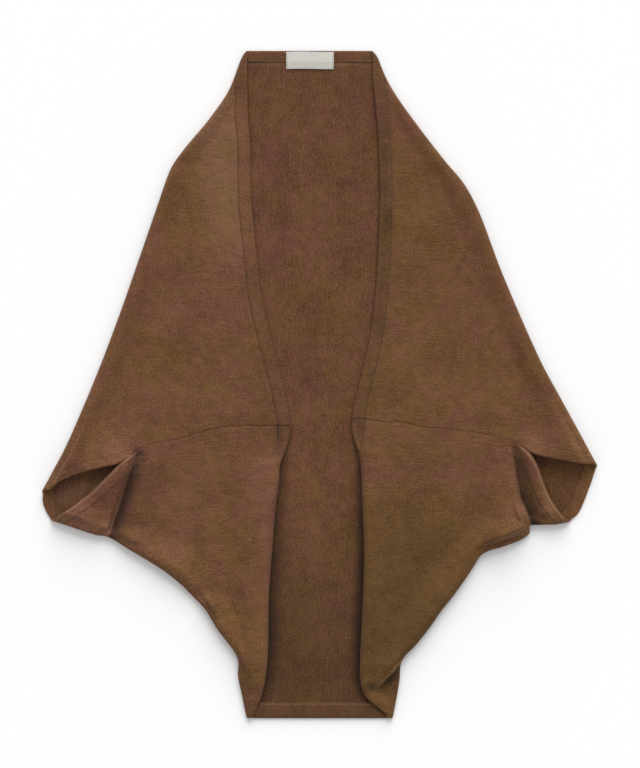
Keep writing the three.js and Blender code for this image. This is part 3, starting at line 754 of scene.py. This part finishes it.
def back_points():
    top, bottom = NECK["y"] - HEM_LIP, BOTTOM["y"] + HEM_LIP
    levels = np.unique(np.round(np.concatenate([
        np.arange(bottom, top, BACK_ROW), np.arange(*CUFF_LEVELS, CUFF_ROW), [top]]), 2))[::-1]
    x_left, x_right = (
        np.interp(-levels, -y, x) for x, y in (back_side("left", 0), back_side("right", 1)))
    share = np.linspace(0, 1, BACK_COLUMNS)
    x = mix(x_left[:, None], x_right[:, None], share)
    y = np.broadcast_to(levels[:, None], x.shape)
    from_side = np.minimum(x - x_left[:, None], x_right[:, None] - x)
    lift = BACK_LIFT * np.minimum(1, from_side / LIFT_GROWS)
    lift = lift * (LIFT_LEVEL + unevenness(x * LIFT_ACROSS, y * LIFT_DOWN))
    return np.stack([x, y, BACK_MIDDLE + lift], axis=-1)


back = back_points()
print("back:", back.shape[0], "rows of", back.shape[1], "points")

# %% Tones of the back
BACK_TONES = [
    # painted light: a lighter strip just below the neck hem's raw edge, against the hem's shadow
    (-86, 385.3, 63, 385.3, 0.3, 1.3, 1.3, 1, 1, 0),
    (-20, -60, -20, -140, 0.05, 50, 50, 0.8, 0.6, -2),
    (-24, -250, -18, -372, -0.1, 46, 50, 0.5, 1, -6),
    (-40, 240, 20, 120, 0.03, 60, 60, 0.6, 0.6, 5)]
IN_ARMHOLES = [                  # light through the thin cloth on the left, olive on the right
    (-322, -146, -236, -104, 0.15, 26, 26, 1, 1, 0.6),
    (316, -128, 256, -112, -0.05, 28, 28, 1, 1, -2)]
PAINTED_ROLL_SHADOW = {"left": (0.5, 22), "right": (0.62, 17)}       # painted shadow beside the rolls: how much darker, and over how many mm
# painted shadow in a thin line beside the upper fronts' edges
BESIDE_EDGE = {"left": (0.62, 2.4), "right": (0.58, 2.6)}
BESIDE_EDGE_ENDS = {"left": 290, "right": 120}   # below this the painted shadow beside an edge fades
EDGE_LEAST, EDGE_FADE = 0.25, 60
ROLL_REACH_AT_SEAM = 0.36        # the painted shadow beside a roll starts narrow at the seam
ROLL_WIDENS = 200
FULL_ROLL = 7                    # radius of a roll with the whole painted shadow beside it
UNDER_EDGE = 20                  # this far under a front the back keeps its own tone
BOTTOM_DARKER, DARKER_FROM, DARKER_OVER = 0.17, -130, 180


def back_tones(points):
    """The back gets painted shadow beside the fronts' edges, and it is darker towards the bottom.
    """
    x, y = points[..., 0], points[..., 1]
    share = np.linspace(0, 1, 200)
    lighter, redder = stroke_tones(BACK_TONES + IN_ARMHOLES, x, y)
    lighter = lighter - BOTTOM_DARKER * smooth((DARKER_FROM - y) / DARKER_OVER)
    for name, away in (("left", 1), ("right", -1)):
        for part, (strength, reach) in (("upper", BESIDE_EDGE[name]), ("lower", PAINTED_ROLL_SHADOW[name])):
            edge = fronts[name, part].edge
            line = edge.point(share)
            beside = away * (x - np.interp(-y, -line[:, 1], line[:, 0]))
            if part == "upper":
                fade = smooth((y - BESIDE_EDGE_ENDS[name]) / EDGE_FADE + 1)
                roll = EDGE_LEAST + (1 - EDGE_LEAST) * fade
            else:
                roll = np.sqrt(np.interp(-y, -line[:, 1], edge.radius(share)) / FULL_ROLL)
                reach = reach * mix(ROLL_REACH_AT_SEAM, 1, smooth((line[0, 1] - y) / ROLL_WIDENS))
            # painted shadow beside the edge
            near = strength * roll * (1 - smooth(beside / reach))
            here = (beside > -UNDER_EDGE) * (y < line[0, 1]) * (y >= line[-1, 1])
            lighter = lighter - near * here
    return {"lighter": lighter, "redder": redder}


back_panel = cloth_piece("back_cloth", back, back[..., [1, 0]], tones=back_tones(back))

# %% [markdown]
# ## Turned hems of the neck and the bottom
# The back's two cut edges are turned onto the inside once. Each hem starts beside the back's edge,
# goes round it in a small half circle and lies on the back as far as its raw edge. What it shows is
# the outside of the knit, and it is paler along its sewing line.

# %% Neck hem and bottom hem
HEM_ROWS, LIP_ROWS, HEM_LENGTH_COLUMNS = 22, 8, 120
LIP_GAP = 0.15                   # the turned edge starts this far from the back's wall
SEWN_FROM_RAW = 1.3              # the sewing line's distance from the raw edge
HEM_LIFT = 0.25                  # a hem lies a little loose on the back
HEM_WANDERS, WANDER_LENGTH = 0.35, 17        # and its raw edge isn't quite straight
HEM_UNEVEN = 0.3
HEM_LINE_LIGHTER = 0.42          # paler along the sewing line


def lip(start, outward, downward):
    """A half circle of points from a wall's edge to a layer one hem's turn below it."""
    angle = np.pi * np.arange(LIP_ROWS) / LIP_ROWS
    return (start + HEM_TURN * np.sin(angle)[:, None, None] * outward
            + HEM_TURN * (1 - np.cos(angle))[:, None, None] * downward)


def hem_line(y, edge):
    """1 along a flat hem's sewing line."""
    return soft_line(np.abs(y - edge["raw_y"]) - SEWN_FROM_RAW, GROOVE_WIDTH)


def flat_hem_points(edge):
    outward = np.sign(edge["y"])
    share = np.linspace(0, 1, HEM_LENGTH_COLUMNS)
    y_start = edge["y"] - outward * (HEM_LIP - LIP_GAP)
    start = np.stack([mix(*edge["hem_ends"], share), np.full(len(share), y_start),
                      np.full(len(share), BACK_MIDDLE)], axis=-1)
    turned = lip(start, np.array([0, outward, 0]), np.array([0, 0, 1]))
    down = np.linspace(0, 1, HEM_ROWS)[:, None]
    x = mix(mix(*edge["hem_ends"], share), mix(*edge["raw_ends"], share), down)
    y = mix(y_start, edge["raw_y"], down) + HEM_WANDERS * np.sin(x / WANDER_LENGTH) * down
    sewn = -GROOVE_DEPTH * hem_line(y, edge)
    z = ON_BACK + HEM_LIFT + sewn + HEM_UNEVEN * unevenness(x, y) * down
    points = np.concatenate([turned, np.stack([x, y, z], axis=-1)])
    return points if outward > 0 else points[:, ::-1]


flat_hems = {}
for name, edge in (("neck", NECK), ("bottom", BOTTOM)):
    points = flat_hem_points(edge)
    lighter = HEM_LINE_LIGHTER * hem_line(points[..., 1], edge) - edge["darker"]
    flat_hems[name] = cloth_piece(f"{name}_hem_cloth", points, points[..., [0, 1]],
                                  tones={"lighter": lighter, "redder": np.zeros_like(lighter)})

# %% [markdown]
# ## Turned hems of the armholes
# Each armhole's hem is one ring. It follows the upper front from the seam's end to the outline,
# round the fold, along the back and home over the lower front. Its points are the panels' own
# points moved inwards by a hem's turn, so the ring can't part from the cloth that it hems.

# %% Armhole hems
ARMHOLE_COLUMNS = 30
RING_ROWS = round(HEM_WIDTH / FINE_STEP) + 1
RING_OUT = 0.1                   # the ring starts this far beyond the cut edge


def unit(v):
    return v / np.linalg.norm(v, axis=-1, keepdims=True)


def normals_of(points):
    across, down = np.gradient(points, axis=1), np.gradient(points, axis=0)
    return unit(np.cross(across, down))


def opening_strip(front):
    """Points, inward normals and outward directions beside one opening: rows from the cut edge."""
    points = front_points(front)
    normals = normals_of(points)
    first = FIRST_TOP_COLUMN + FINE_STEPS + SEAM_COLUMNS + 1
    inner = -normals * np.sign(normals[-1, first, 2])
    rows = slice(-1, -RING_ROWS - 1, -1)
    strip, inner = points[rows, first:], inner[rows, first:]
    return strip, inner, unit(strip[0] - strip[1])


def back_strip(name):
    share = np.linspace(0, 1, ARMHOLE_COLUMNS + 2)[1:-1]
    curve = SoftCurve(SIDES[name]["back_armhole"])
    tangent = curve.tangent(share)
    outward = np.stack([tangent[:, 1], -tangent[:, 0]], axis=-1) * (1 if name == "left" else -1)
    depth = (np.arange(RING_ROWS) * FINE_STEP)[:, None, None]
    xy = curve.point(share) - outward * (depth + SEAM_GAP)
    strip = with_height(xy, BACK_MIDDLE)
    inner = np.zeros_like(strip)
    inner[..., 2] = 1
    return strip, inner, with_height(outward, 0.0)


def armhole_points(name):
    upper, lower = (opening_strip(fronts[name, part]) for part in ("upper", "lower"))
    back_part = back_strip(name)
    strip, inner = (
        np.concatenate([upper[k], back_part[k], lower[k][:, ::-1]], axis=1) for k in (0, 1))
    outward = np.concatenate([upper[2], back_part[2], lower[2][::-1]])
    start = strip[0] + outward * RING_OUT
    return np.concatenate([lip(start, outward, inner[0]), strip + inner * 2 * HEM_TURN])


armhole_hems = {}
for name in SIDES:
    points = armhole_points(name)
    distances = np.stack([run_lengths(points, 1), run_lengths(points, 0)], axis=-1)
    armhole_hems[name] = cloth_piece(f"{name}_armhole_hem_cloth", points, distances)

# %% [markdown]
# ## Label
# A woven label is a short piece of ribbon, heat cut at its sides and sewn down at both ends. It
# starts on the neck hem and hangs over its raw edge onto the back. It is left blank.

# %% Label
LABEL = {"left": -39.9, "right": 17.1, "bottom": 378.3, "top": 398.6, "thickness": 0.8}
LABEL_ROWS, LABEL_COLUMNS = 24, 60
LABEL_LIES = CLOTH + SEAM_GAP + 0.75         # middle of the ribbon above the surface, on the back
STEP_SHAPE = 0.8                 # below 1, the ribbon rises early towards the hem
BELLY, BELLY_WAVE = 0.35, 0.12   # it arches between its sewn ends, a little unevenly


def label_points():
    x = np.linspace(LABEL["left"], LABEL["right"], LABEL_COLUMNS)[None, :]
    y = np.linspace(LABEL["top"], LABEL["bottom"], LABEL_ROWS)[:, None]
    on_hem = LABEL_LIES + CLOTH + SEAM_GAP
    to_hem = np.clip((y - LABEL["bottom"]) / (NECK["raw_y"] - LABEL["bottom"]), 0, 1)
    z = mix(LABEL_LIES, on_hem, to_hem**STEP_SHAPE)
    middle = 1 - (2 * (x - LABEL["left"]) / (LABEL["right"] - LABEL["left"]) - 1) ** 4
    belly = middle * (BELLY_WAVE * np.sin(x / 9 + 0.8) + BELLY)
    x, y, z = np.broadcast_arrays(x, y - 0.4 * middle * np.sin(x / 21), z + belly)
    return np.stack([x, y, z], axis=-1)


label_grid = label_points()
label = cloth_piece("label_cloth", label_grid, label_grid[..., [0, 1]], LABEL["thickness"])

# %% [markdown]
# ## Stitches
# The hems are held by rows of short straight stitches in yarn of the cloth's own colour. One stitch
# is modelled from a small sphere, and every stitch of a row is a copy of it, turned along the row
# and sunk to about half its height into its groove.

# %% One stitch, copied along a row
STITCH = {"pitch": 3.0, "length": 2.3, "width": 0.62, "height": 0.5}
STITCH_LIFT = 0.1
LINE_STEP = 0.002                # share of a front over which its slope is read


def stitch_pattern():
    """Corners and faces of one stitch, along X, from a small sphere."""
    bpy.ops.object.select_all(action="DESELECT")
    bpy.ops.mesh.primitive_uv_sphere_add(segments=6, ring_count=4, radius=0.5)
    sphere = bpy.context.object
    corners = np.array([v.co for v in sphere.data.vertices])[:, [2, 0, 1]]
    corners = corners * [STITCH["length"], STITCH["width"], STITCH["height"]]
    faces = sorted(tuple(face.vertices) for face in sphere.data.polygons)    # the same in each run
    bpy.data.objects.remove(sphere, do_unlink=True)
    return corners, faces


STITCH_CORNERS, STITCH_FACES = stitch_pattern()


def stitches(name, rows):
    """One object of many stitches. Each row is (places, directions, upward normals), in mm."""
    places, along, up = (np.concatenate([row[k] for row in rows]) for k in range(3))
    along = unit(along)
    side = unit(np.cross(up, along))
    up = np.cross(along, side)
    frames = np.stack([along, side, up], axis=1)
    corners = places[:, None] + STITCH_CORNERS @ frames
    count = len(STITCH_CORNERS)
    faces = [tuple(corner + i * count for corner in face)
             for i in range(len(places)) for face in STITCH_FACES]
    mesh = bpy.data.meshes.new(name)
    mesh.from_pydata((corners.reshape(-1, 3) * MM).tolist(), [], faces)
    mesh.shade_smooth()
    piece = bpy.data.objects.new(name, mesh)
    bpy.context.collection.objects.link(piece)
    print(name, len(places), "stitches")
    return piece


def sewn_row(places, up=((0.0, 0, 1),)):
    """Stitches at an even pitch along a line of places with upward normals, on the outer side."""
    up = np.broadcast_to(up, places.shape)
    reach = run_lengths(places, 0)
    at = np.arange(STITCH["pitch"] / 2, reach[-1], STITCH["pitch"])

    def read(values, where):
        return np.stack([np.interp(where, reach, values[:, k]) for k in range(3)], axis=-1)

    normal = unit(read(up, at))
    lifted = read(places, at) + normal * (CLOTH / 2 + STITCH_LIFT)
    return lifted, read(places, at + 1) - read(places, at - 1), normal


def surface_line(front, s, t):
    """Places and upward normals along a line on top of a front."""
    here = front.top(s, t)
    to_s = front.top(s + LINE_STEP, t) - front.top(s - LINE_STEP, t)
    before, after = np.clip(t - LINE_STEP, 0, 1), np.clip(t + LINE_STEP, 0, 1)
    to_t = front.top(s, after) - front.top(s, before)
    normal = unit(np.cross(to_s, to_t))
    return here, normal * np.sign(normal[:, 2:3])


# %% Stitches beside the front edges, the armholes and the flat hems
TIP_CLEAR = 3                    # a front wider than its band by this has stitches
OPENING_ENDS = (0.02, 0.985)     # where the row beside an armhole starts and ends


def edge_row(front):
    t = np.linspace(0.0, 1, 500)
    hidden = HEM_WIDTH * (1 - front.band(t))
    shown = (SEWING_LINE - hidden > 1.0) & (front.width(t) > SEWING_LINE + TIP_CLEAR)
    t, distance = t[shown], (SEWING_LINE - hidden)[shown]
    return sewn_row(*surface_line(front, distance / front.width(t), t))


def opening_row(front):
    s = np.linspace(front.seam_share + OPENING_ENDS[0], OPENING_ENDS[1], 300)
    t = np.full(len(s), 1 - SEWING_LINE / front.outline.length)
    return sewn_row(*surface_line(front, s, t))


def hem_rows(points, edge):
    """One row along a flat hem's raw edge, left out under the label."""
    flat = points[LIP_ROWS:] if edge["y"] > 0 else points[LIP_ROWS:, ::-1]
    row = np.argmin(np.abs(np.abs(flat[:, 0, 1] - edge["raw_y"]) - SEWN_FROM_RAW))
    line = flat[row]
    parts = [line]
    if edge is NECK:
        parts = [line[line[:, 0] < LABEL["left"] - 1], line[line[:, 0] > LABEL["right"] + 1]]
    return [sewn_row(part) for part in parts]


sewing = {}
for (name, part), front in fronts.items():
    sewing[name, part] = stitches(
        f"{name}_front_{part}_stitches", [edge_row(front), opening_row(front)])
for name, edge in (("neck", NECK), ("bottom", BOTTOM)):
    sewing[name] = stitches(f"{name}_hem_stitches", hem_rows(flat_hem_points(edge), edge))

# %% Stitches at the ends of the label
LABEL_SEWN = 1.2                 # how far in from its ends the label is sewn down


def label_rows():
    rows = []
    for x in (LABEL["left"] + LABEL_SEWN, LABEL["right"] - LABEL_SEWN):
        column = np.argmin(np.abs(label_grid[0, :, 0] - x))
        line = label_grid[2:-2, column]
        places, along, normal = sewn_row(line)
        rows.append((places - normal * (CLOTH - LABEL["thickness"]) / 2, along, normal))
    return rows


label_sewing = stitches("label_stitches", label_rows())

# %% [markdown]
# ## Colour of the heathered yarn
# The yarn is spun from fibres of several browns. Along a row of loops it drifts from lighter to
# darker, which draws short streaks, with a few longer slubs. Over a hand's width the browns lean to
# red or to olive. One node group makes that colour for the outside and the inside of the knit.
# The same group scales that colour by the strokes of tone, which are mostly painted shade and
# painted highlights, and turns the painted highlights pale.

# %% Node helpers
PER_METRE = 1000                 # UV maps and Object coordinates are in metres


def new_group(name, inputs, outputs):
    """A node group, its input node and its output node. The sockets are given as name: kind."""
    group = bpy.data.node_groups.new(name, "ShaderNodeTree")
    for way, sockets in (("INPUT", inputs), ("OUTPUT", outputs)):
        for title, kind in sockets.items():
            group.interface.new_socket(title, in_out=way, socket_type="NodeSocket" + kind)
    return group, group.nodes.new("NodeGroupInput"), group.nodes.new("NodeGroupOutput")


def fill(tree, socket, value):
    """Links a socket to another node's output, or sets it to a plain value."""
    if isinstance(value, bpy.types.NodeSocket):
        tree.links.new(value, socket)
    else:
        socket.default_value = value


def math_node(tree, operation, a, b=0.0, clamp=False):
    node = tree.nodes.new("ShaderNodeMath")
    node.operation, node.use_clamp = operation, clamp
    fill(tree, node.inputs[0], a)
    fill(tree, node.inputs[1], b)
    return node.outputs[0]


def noise(tree, vector, wavelength, detail=2.0, stretch=(1, 1, 1), shift=(0, 0, 0), roughness=0.5):
    """Noise over a vector in metres, with a wavelength in mm that `stretch` divides."""
    place = tree.nodes.new("ShaderNodeMapping")
    made = tree.nodes.new("ShaderNodeTexNoise")
    place.inputs["Scale"].default_value = stretch
    place.inputs["Location"].default_value = shift
    made.inputs["Scale"].default_value = PER_METRE / wavelength
    made.inputs["Detail"].default_value = detail
    made.inputs["Roughness"].default_value = roughness
    tree.links.new(vector, place.inputs["Vector"])
    tree.links.new(place.outputs["Vector"], made.inputs["Vector"])
    return made.outputs["Fac"]


def spread(tree, value, low, high, to_low=0.0, to_high=1.0):
    node = tree.nodes.new("ShaderNodeMapRange")
    for socket, number in zip(node.inputs, (value, low, high, to_low, to_high)):
        fill(tree, socket, number)
    return node.outputs["Result"]


def blend_colour(tree, share, first, second, how="MIX"):
    node = tree.nodes.new("ShaderNodeMix")
    node.data_type, node.blend_type = "RGBA", how
    for title, value in (("Factor", share), ("A", first), ("B", second)):
        fill(tree, next(i for i in node.inputs if i.name == title and i.enabled), value)
    return next(o for o in node.outputs if o.enabled)


# %% Heathered yarn, as a node group
STREAK = (1 / 10, 1 / 2.6, 1)    # waves per millimetre, along and across a row of loops
FLECK = (1 / 2.4, 1 / 2.0, 1)
SLUB = (1 / 22, 1 / 1.8, 1)
DRIFT, BLOTCH = 46, 12           # wavelengths in mm
HUE_FINE, HUE_WIDE = 24, 110
NOISE_RANGE = (0.3, 0.7)         # where most of a noise's values lie
SLUB_RANGE = (0.62, 0.72)        # only its peaks are slubs
HUE_RANGE = (0.74, 1.26)         # of two noises added up
HIGHLIGHT_RANGE = (0.05, 0.8)       # of the strokes of lighter tone
LEAN_STEP = 0.06                 # how far a stroke's lean moves the hue
PALE_HIGHLIGHT = (0.32, 0.235, 0.165, 1)    # painted highlight: where a stroke makes the cloth lighter, it turns towards this pale colour


def heather_group():
    group, into, out = new_group(
        "heathered yarn",
        {"Vector": "Vector", "Dark": "Color", "Light": "Color", "Red": "Color", "Olive": "Color",
         "Lighter": "Float", "Redder": "Float"},
        {"Color": "Color", "Fibre": "Float"})
    given = into.outputs

    def waves(*values, **more):
        return noise(group, given["Vector"], *values, **more)

    def add(*values):
        return math_node(group, "ADD", *values)

    streaks = waves(1, 2, STREAK, roughness=0.6)
    slubs = waves(1, 1, SLUB, shift=(3.1, 7.7, 0))
    flecks = waves(1, 2, FLECK, shift=(9.2, 4.4, 0), roughness=0.7)
    tone = add(spread(group, streaks, *NOISE_RANGE, -0.16, 0.16),
               spread(group, slubs, *SLUB_RANGE, 0.0, 0.4))
    for pattern, strength in ((flecks, 0.5), (waves(DRIFT, 2, shift=(1.7, 0.4, 0)), 0.18),
                              (waves(BLOTCH, 2, shift=(2.2, 8.1, 0)), 0.15)):
        tone = add(tone, spread(group, pattern, *NOISE_RANGE, -strength, strength))
    tone = math_node(group, "ADD", tone, 0.5, clamp=True)
    brown = blend_colour(group, tone, given["Dark"], given["Light"])
    hue = add(waves(HUE_FINE, 2, shift=(5.3, 2.9, 0)), waves(HUE_WIDE, 2, shift=(0.3, 6.2, 0)))
    redder = math_node(group, "MULTIPLY", given["Redder"], LEAN_STEP)
    hue = math_node(group, "SUBTRACT", hue, redder)
    lean = blend_colour(group, spread(group, hue, *HUE_RANGE), given["Red"], given["Olive"])
    # strokes of tone: mostly painted shade and painted highlights
    stroke = group.nodes.new("ShaderNodeVectorMath")
    stroke.operation = "SCALE"
    fill(group, stroke.inputs[0], blend_colour(group, 1.0, brown, lean, "MULTIPLY"))
    fill(group, stroke.inputs["Scale"], add(given["Lighter"], 1.0))
    highlighted = spread(group, given["Lighter"], *HIGHLIGHT_RANGE, 0.0, 0.5)
    fill(group, out.inputs["Color"], blend_colour(group, highlighted, stroke.outputs[0], PALE_HIGHLIGHT))
    fill(group, out.inputs["Fibre"], streaks)
    print(group.name, "-", len(group.nodes), "nodes")
    return group


HEATHER = heather_group()

# %% [markdown]
# ## Relief of the knit
# Fine jersey is rows of small V-shaped loops. Each column of loops is a wale and each row is a
# course. They are far too many to model, so a second node group draws them as heights for a Bump
# node, with the unevenness of the yarn on top.

# %% Jersey loops, as a node group
WALE = 0.95                      # width of a loop and height of a row of loops, in mm
COURSE = 0.72
LOOP_WOBBLE, WOBBLE_LENGTH = 0.8, 3.2
V_SLANT = 0.6                    # how much the sides of the V climb, in rows
LOOP_EDGE = 0.8                  # how deep the cloth sinks between two wales
FIBRE_RANGE, FIBRE_HEIGHT = (0.25, 0.75), 0.9


def loops_group():
    group, into, out = new_group(
        "jersey loops", {"Vector": "Vector", "Fibre": "Float"}, {"Height": "Float"})
    vector, fibre = into.outputs["Vector"], into.outputs["Fibre"]

    def add(*values):
        return math_node(group, "ADD", *values)

    def times(*values):
        return math_node(group, "MULTIPLY", *values)

    split = group.nodes.new("ShaderNodeSeparateXYZ")
    fill(group, split.inputs["Vector"], vector)
    across = times(split.outputs["X"], PER_METRE / WALE)
    across = add(across, times(noise(group, vector, WOBBLE_LENGTH, 1), LOOP_WOBBLE))
    side = times(math_node(group, "FRACT", across), 2.0)
    side = math_node(group, "ABSOLUTE", math_node(group, "SUBTRACT", side, 1.0))
    up = add(times(split.outputs["Y"], PER_METRE / COURSE), times(side, V_SLANT))
    row = math_node(group, "SINE", times(math_node(group, "FRACT", up), np.pi))
    sunk = times(math_node(group, "POWER", side, 4.0), LOOP_EDGE)
    loop = times(row, math_node(group, "SUBTRACT", 1.0, sunk))
    uneven = times(spread(group, fibre, *FIBRE_RANGE), FIBRE_HEIGHT)
    fill(group, out.inputs["Height"], add(loop, uneven))
    print(group.name, "-", len(group.nodes), "nodes")
    return group


LOOPS = loops_group()

# %% [markdown]
# ## Materials
# The outside and the inside of the knit are the same yarn, and the inside is a little darker. Wool
# is matt with a faint sheen from its nap. The label is a smooth woven ribbon in off-white.

# %% Materials of the knit
RED_LEAN, OLIVE_LEAN = (1.06, 0.92, 1.10, 1), (0.98, 1.05, 0.63, 1)
LOOP_RELIEF = 0.16 * MM
SHEEN_COLOUR = (0.62, 0.47, 0.36, 1)
KNIT_ROUGHNESS = (0.82, 0.95)    # along the yarn and between its fibres


def add_group(tree, group, values):
    node = tree.nodes.new("ShaderNodeGroup")
    node.node_tree = group
    for title, value in values.items():
        fill(tree, node.inputs[title], value)
    return node


def add_bump(tree, shader, height, distance):
    bump = tree.nodes.new("ShaderNodeBump")
    bump.inputs["Distance"].default_value = distance
    bump.inputs["Strength"].default_value = 1.0
    fill(tree, bump.inputs["Height"], height)
    fill(tree, shader.inputs["Normal"], bump.outputs["Normal"])


def knit_material(name, dark, light, sheen):
    material, tree, shader = new_material(name, {
        "Specular IOR Level": 0.25, "Sheen Weight": sheen, "Sheen Roughness": 0.5,
        "Sheen Tint": SHEEN_COLOUR})
    where = tree.nodes.new("ShaderNodeUVMap").outputs["UV"]
    yarn = add_group(tree, HEATHER, {
        "Vector": where, "Dark": (*dark, 1), "Light": (*light, 1),
        "Red": RED_LEAN, "Olive": OLIVE_LEAN})
    # strokes of tone per point: mostly painted shade and painted highlights, and a lean of the hue
    for title in ("Lighter", "Redder"):
        stroke = tree.nodes.new("ShaderNodeAttribute")
        stroke.attribute_name = title.lower()
        fill(tree, yarn.inputs[title], stroke.outputs["Fac"])
    fibre = yarn.outputs["Fibre"]
    loops = add_group(tree, LOOPS, {"Vector": where, "Fibre": fibre})
    add_bump(tree, shader, loops.outputs["Height"], LOOP_RELIEF)
    fill(tree, shader.inputs["Base Color"], yarn.outputs["Color"])
    fill(tree, shader.inputs["Roughness"], spread(tree, fibre, *NOISE_RANGE, *KNIT_ROUGHNESS))
    return material


knit_outside = knit_material("knit_outside", (0.090, 0.0355, 0.016), (0.187, 0.0885, 0.044), 0.12)
knit_inside = knit_material("knit_inside", (0.069, 0.0255, 0.012), (0.167, 0.0765, 0.0385), 0.08)
print("knit materials:", knit_outside.name, "and", knit_inside.name)


# %% Thread and label
PLY = 0.5                        # wavelengths in mm
WARP, WEFT = 0.5, 0.35
STAIN = 11
WEAVE_RELIEF = 0.05 * MM


def thread_material():
    material, tree, shader = new_material("sewing_thread", {"Roughness": 0.6})
    ply = noise(tree, tree.nodes.new("ShaderNodeTexCoord").outputs["Object"], PLY, 1)
    colour = blend_colour(tree, ply, (0.12, 0.065, 0.036, 1), (0.21, 0.115, 0.066, 1))
    fill(tree, shader.inputs["Base Color"], colour)
    return material


def ribbon_material():
    material, tree, shader = new_material(
        "label_ribbon", {"Roughness": 0.7, "Specular IOR Level": 0.3})
    where = tree.nodes.new("ShaderNodeUVMap").outputs["UV"]
    split = tree.nodes.new("ShaderNodeSeparateXYZ")
    fill(tree, split.inputs["Vector"], where)
    warp, weft = (
        math_node(tree, "SINE", math_node(
            tree, "MULTIPLY", split.outputs[axis], 2 * np.pi * PER_METRE / wavelength))
        for axis, wavelength in (("X", WARP), ("Y", WEFT)))
    stain = noise(tree, where, STAIN, 2)
    colour = blend_colour(tree, stain, (0.55, 0.54, 0.485, 1), (0.66, 0.645, 0.595, 1))
    add_bump(tree, shader, math_node(tree, "MULTIPLY", warp, weft), WEAVE_RELIEF)
    fill(tree, shader.inputs["Base Color"], colour)
    return material


def dress(piece, material):
    piece.data.materials.clear()
    piece.data.materials.append(material)


for piece in (*made.values(), *flat_hems.values(), *armhole_hems.values()):
    dress(piece, knit_outside)
dress(back_panel, knit_inside)
dress(label, ribbon_material())
thread = thread_material()
for piece in (*sewing.values(), label_sewing):
    dress(piece, thread)
print("materials:", sorted(material.name for material in bpy.data.materials if material.users))

# %% [markdown]
# ## Finish
# The script ends by hanging every dressed piece and its stitches from the root body, and by hiding
# the solid parts that they replace.

# %% Sizes and finish
DRESSED = [
    (made["left", "upper"], "left_front_upper", "knit", (0.335, 0.53), 0.0756),
    (made["left", "lower"], "left_front_lower", "knit", (0.30, 0.37), 0.0547),
    (made["right", "upper"], "right_front_upper", "knit", (0.33, 0.50), 0.0722),
    (made["right", "lower"], "right_front_lower", "knit", (0.30, 0.38), 0.0580),
    (back_panel, "back_panel", "knit_inside", (0.664, 0.80), 0.310),
    (flat_hems["neck"], "neck_hem", "knit", (0.148, 0.0155), None),
    (flat_hems["bottom"], "bottom_hem", "knit", (0.15, 0.021), None),
    (armhole_hems["left"], "left_armhole_hem", "knit", (0.32, 0.016), None),
    (armhole_hems["right"], "right_armhole_hem", "knit", (0.30, 0.016), None),
    (label, "label", "label_cloth", (0.057, 0.0203), None),
]
for piece, node, slot, flat, area in DRESSED:
    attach(piece, "root")
    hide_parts(node)
for piece in (*sewing.values(), label_sewing):
    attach(piece, "root")
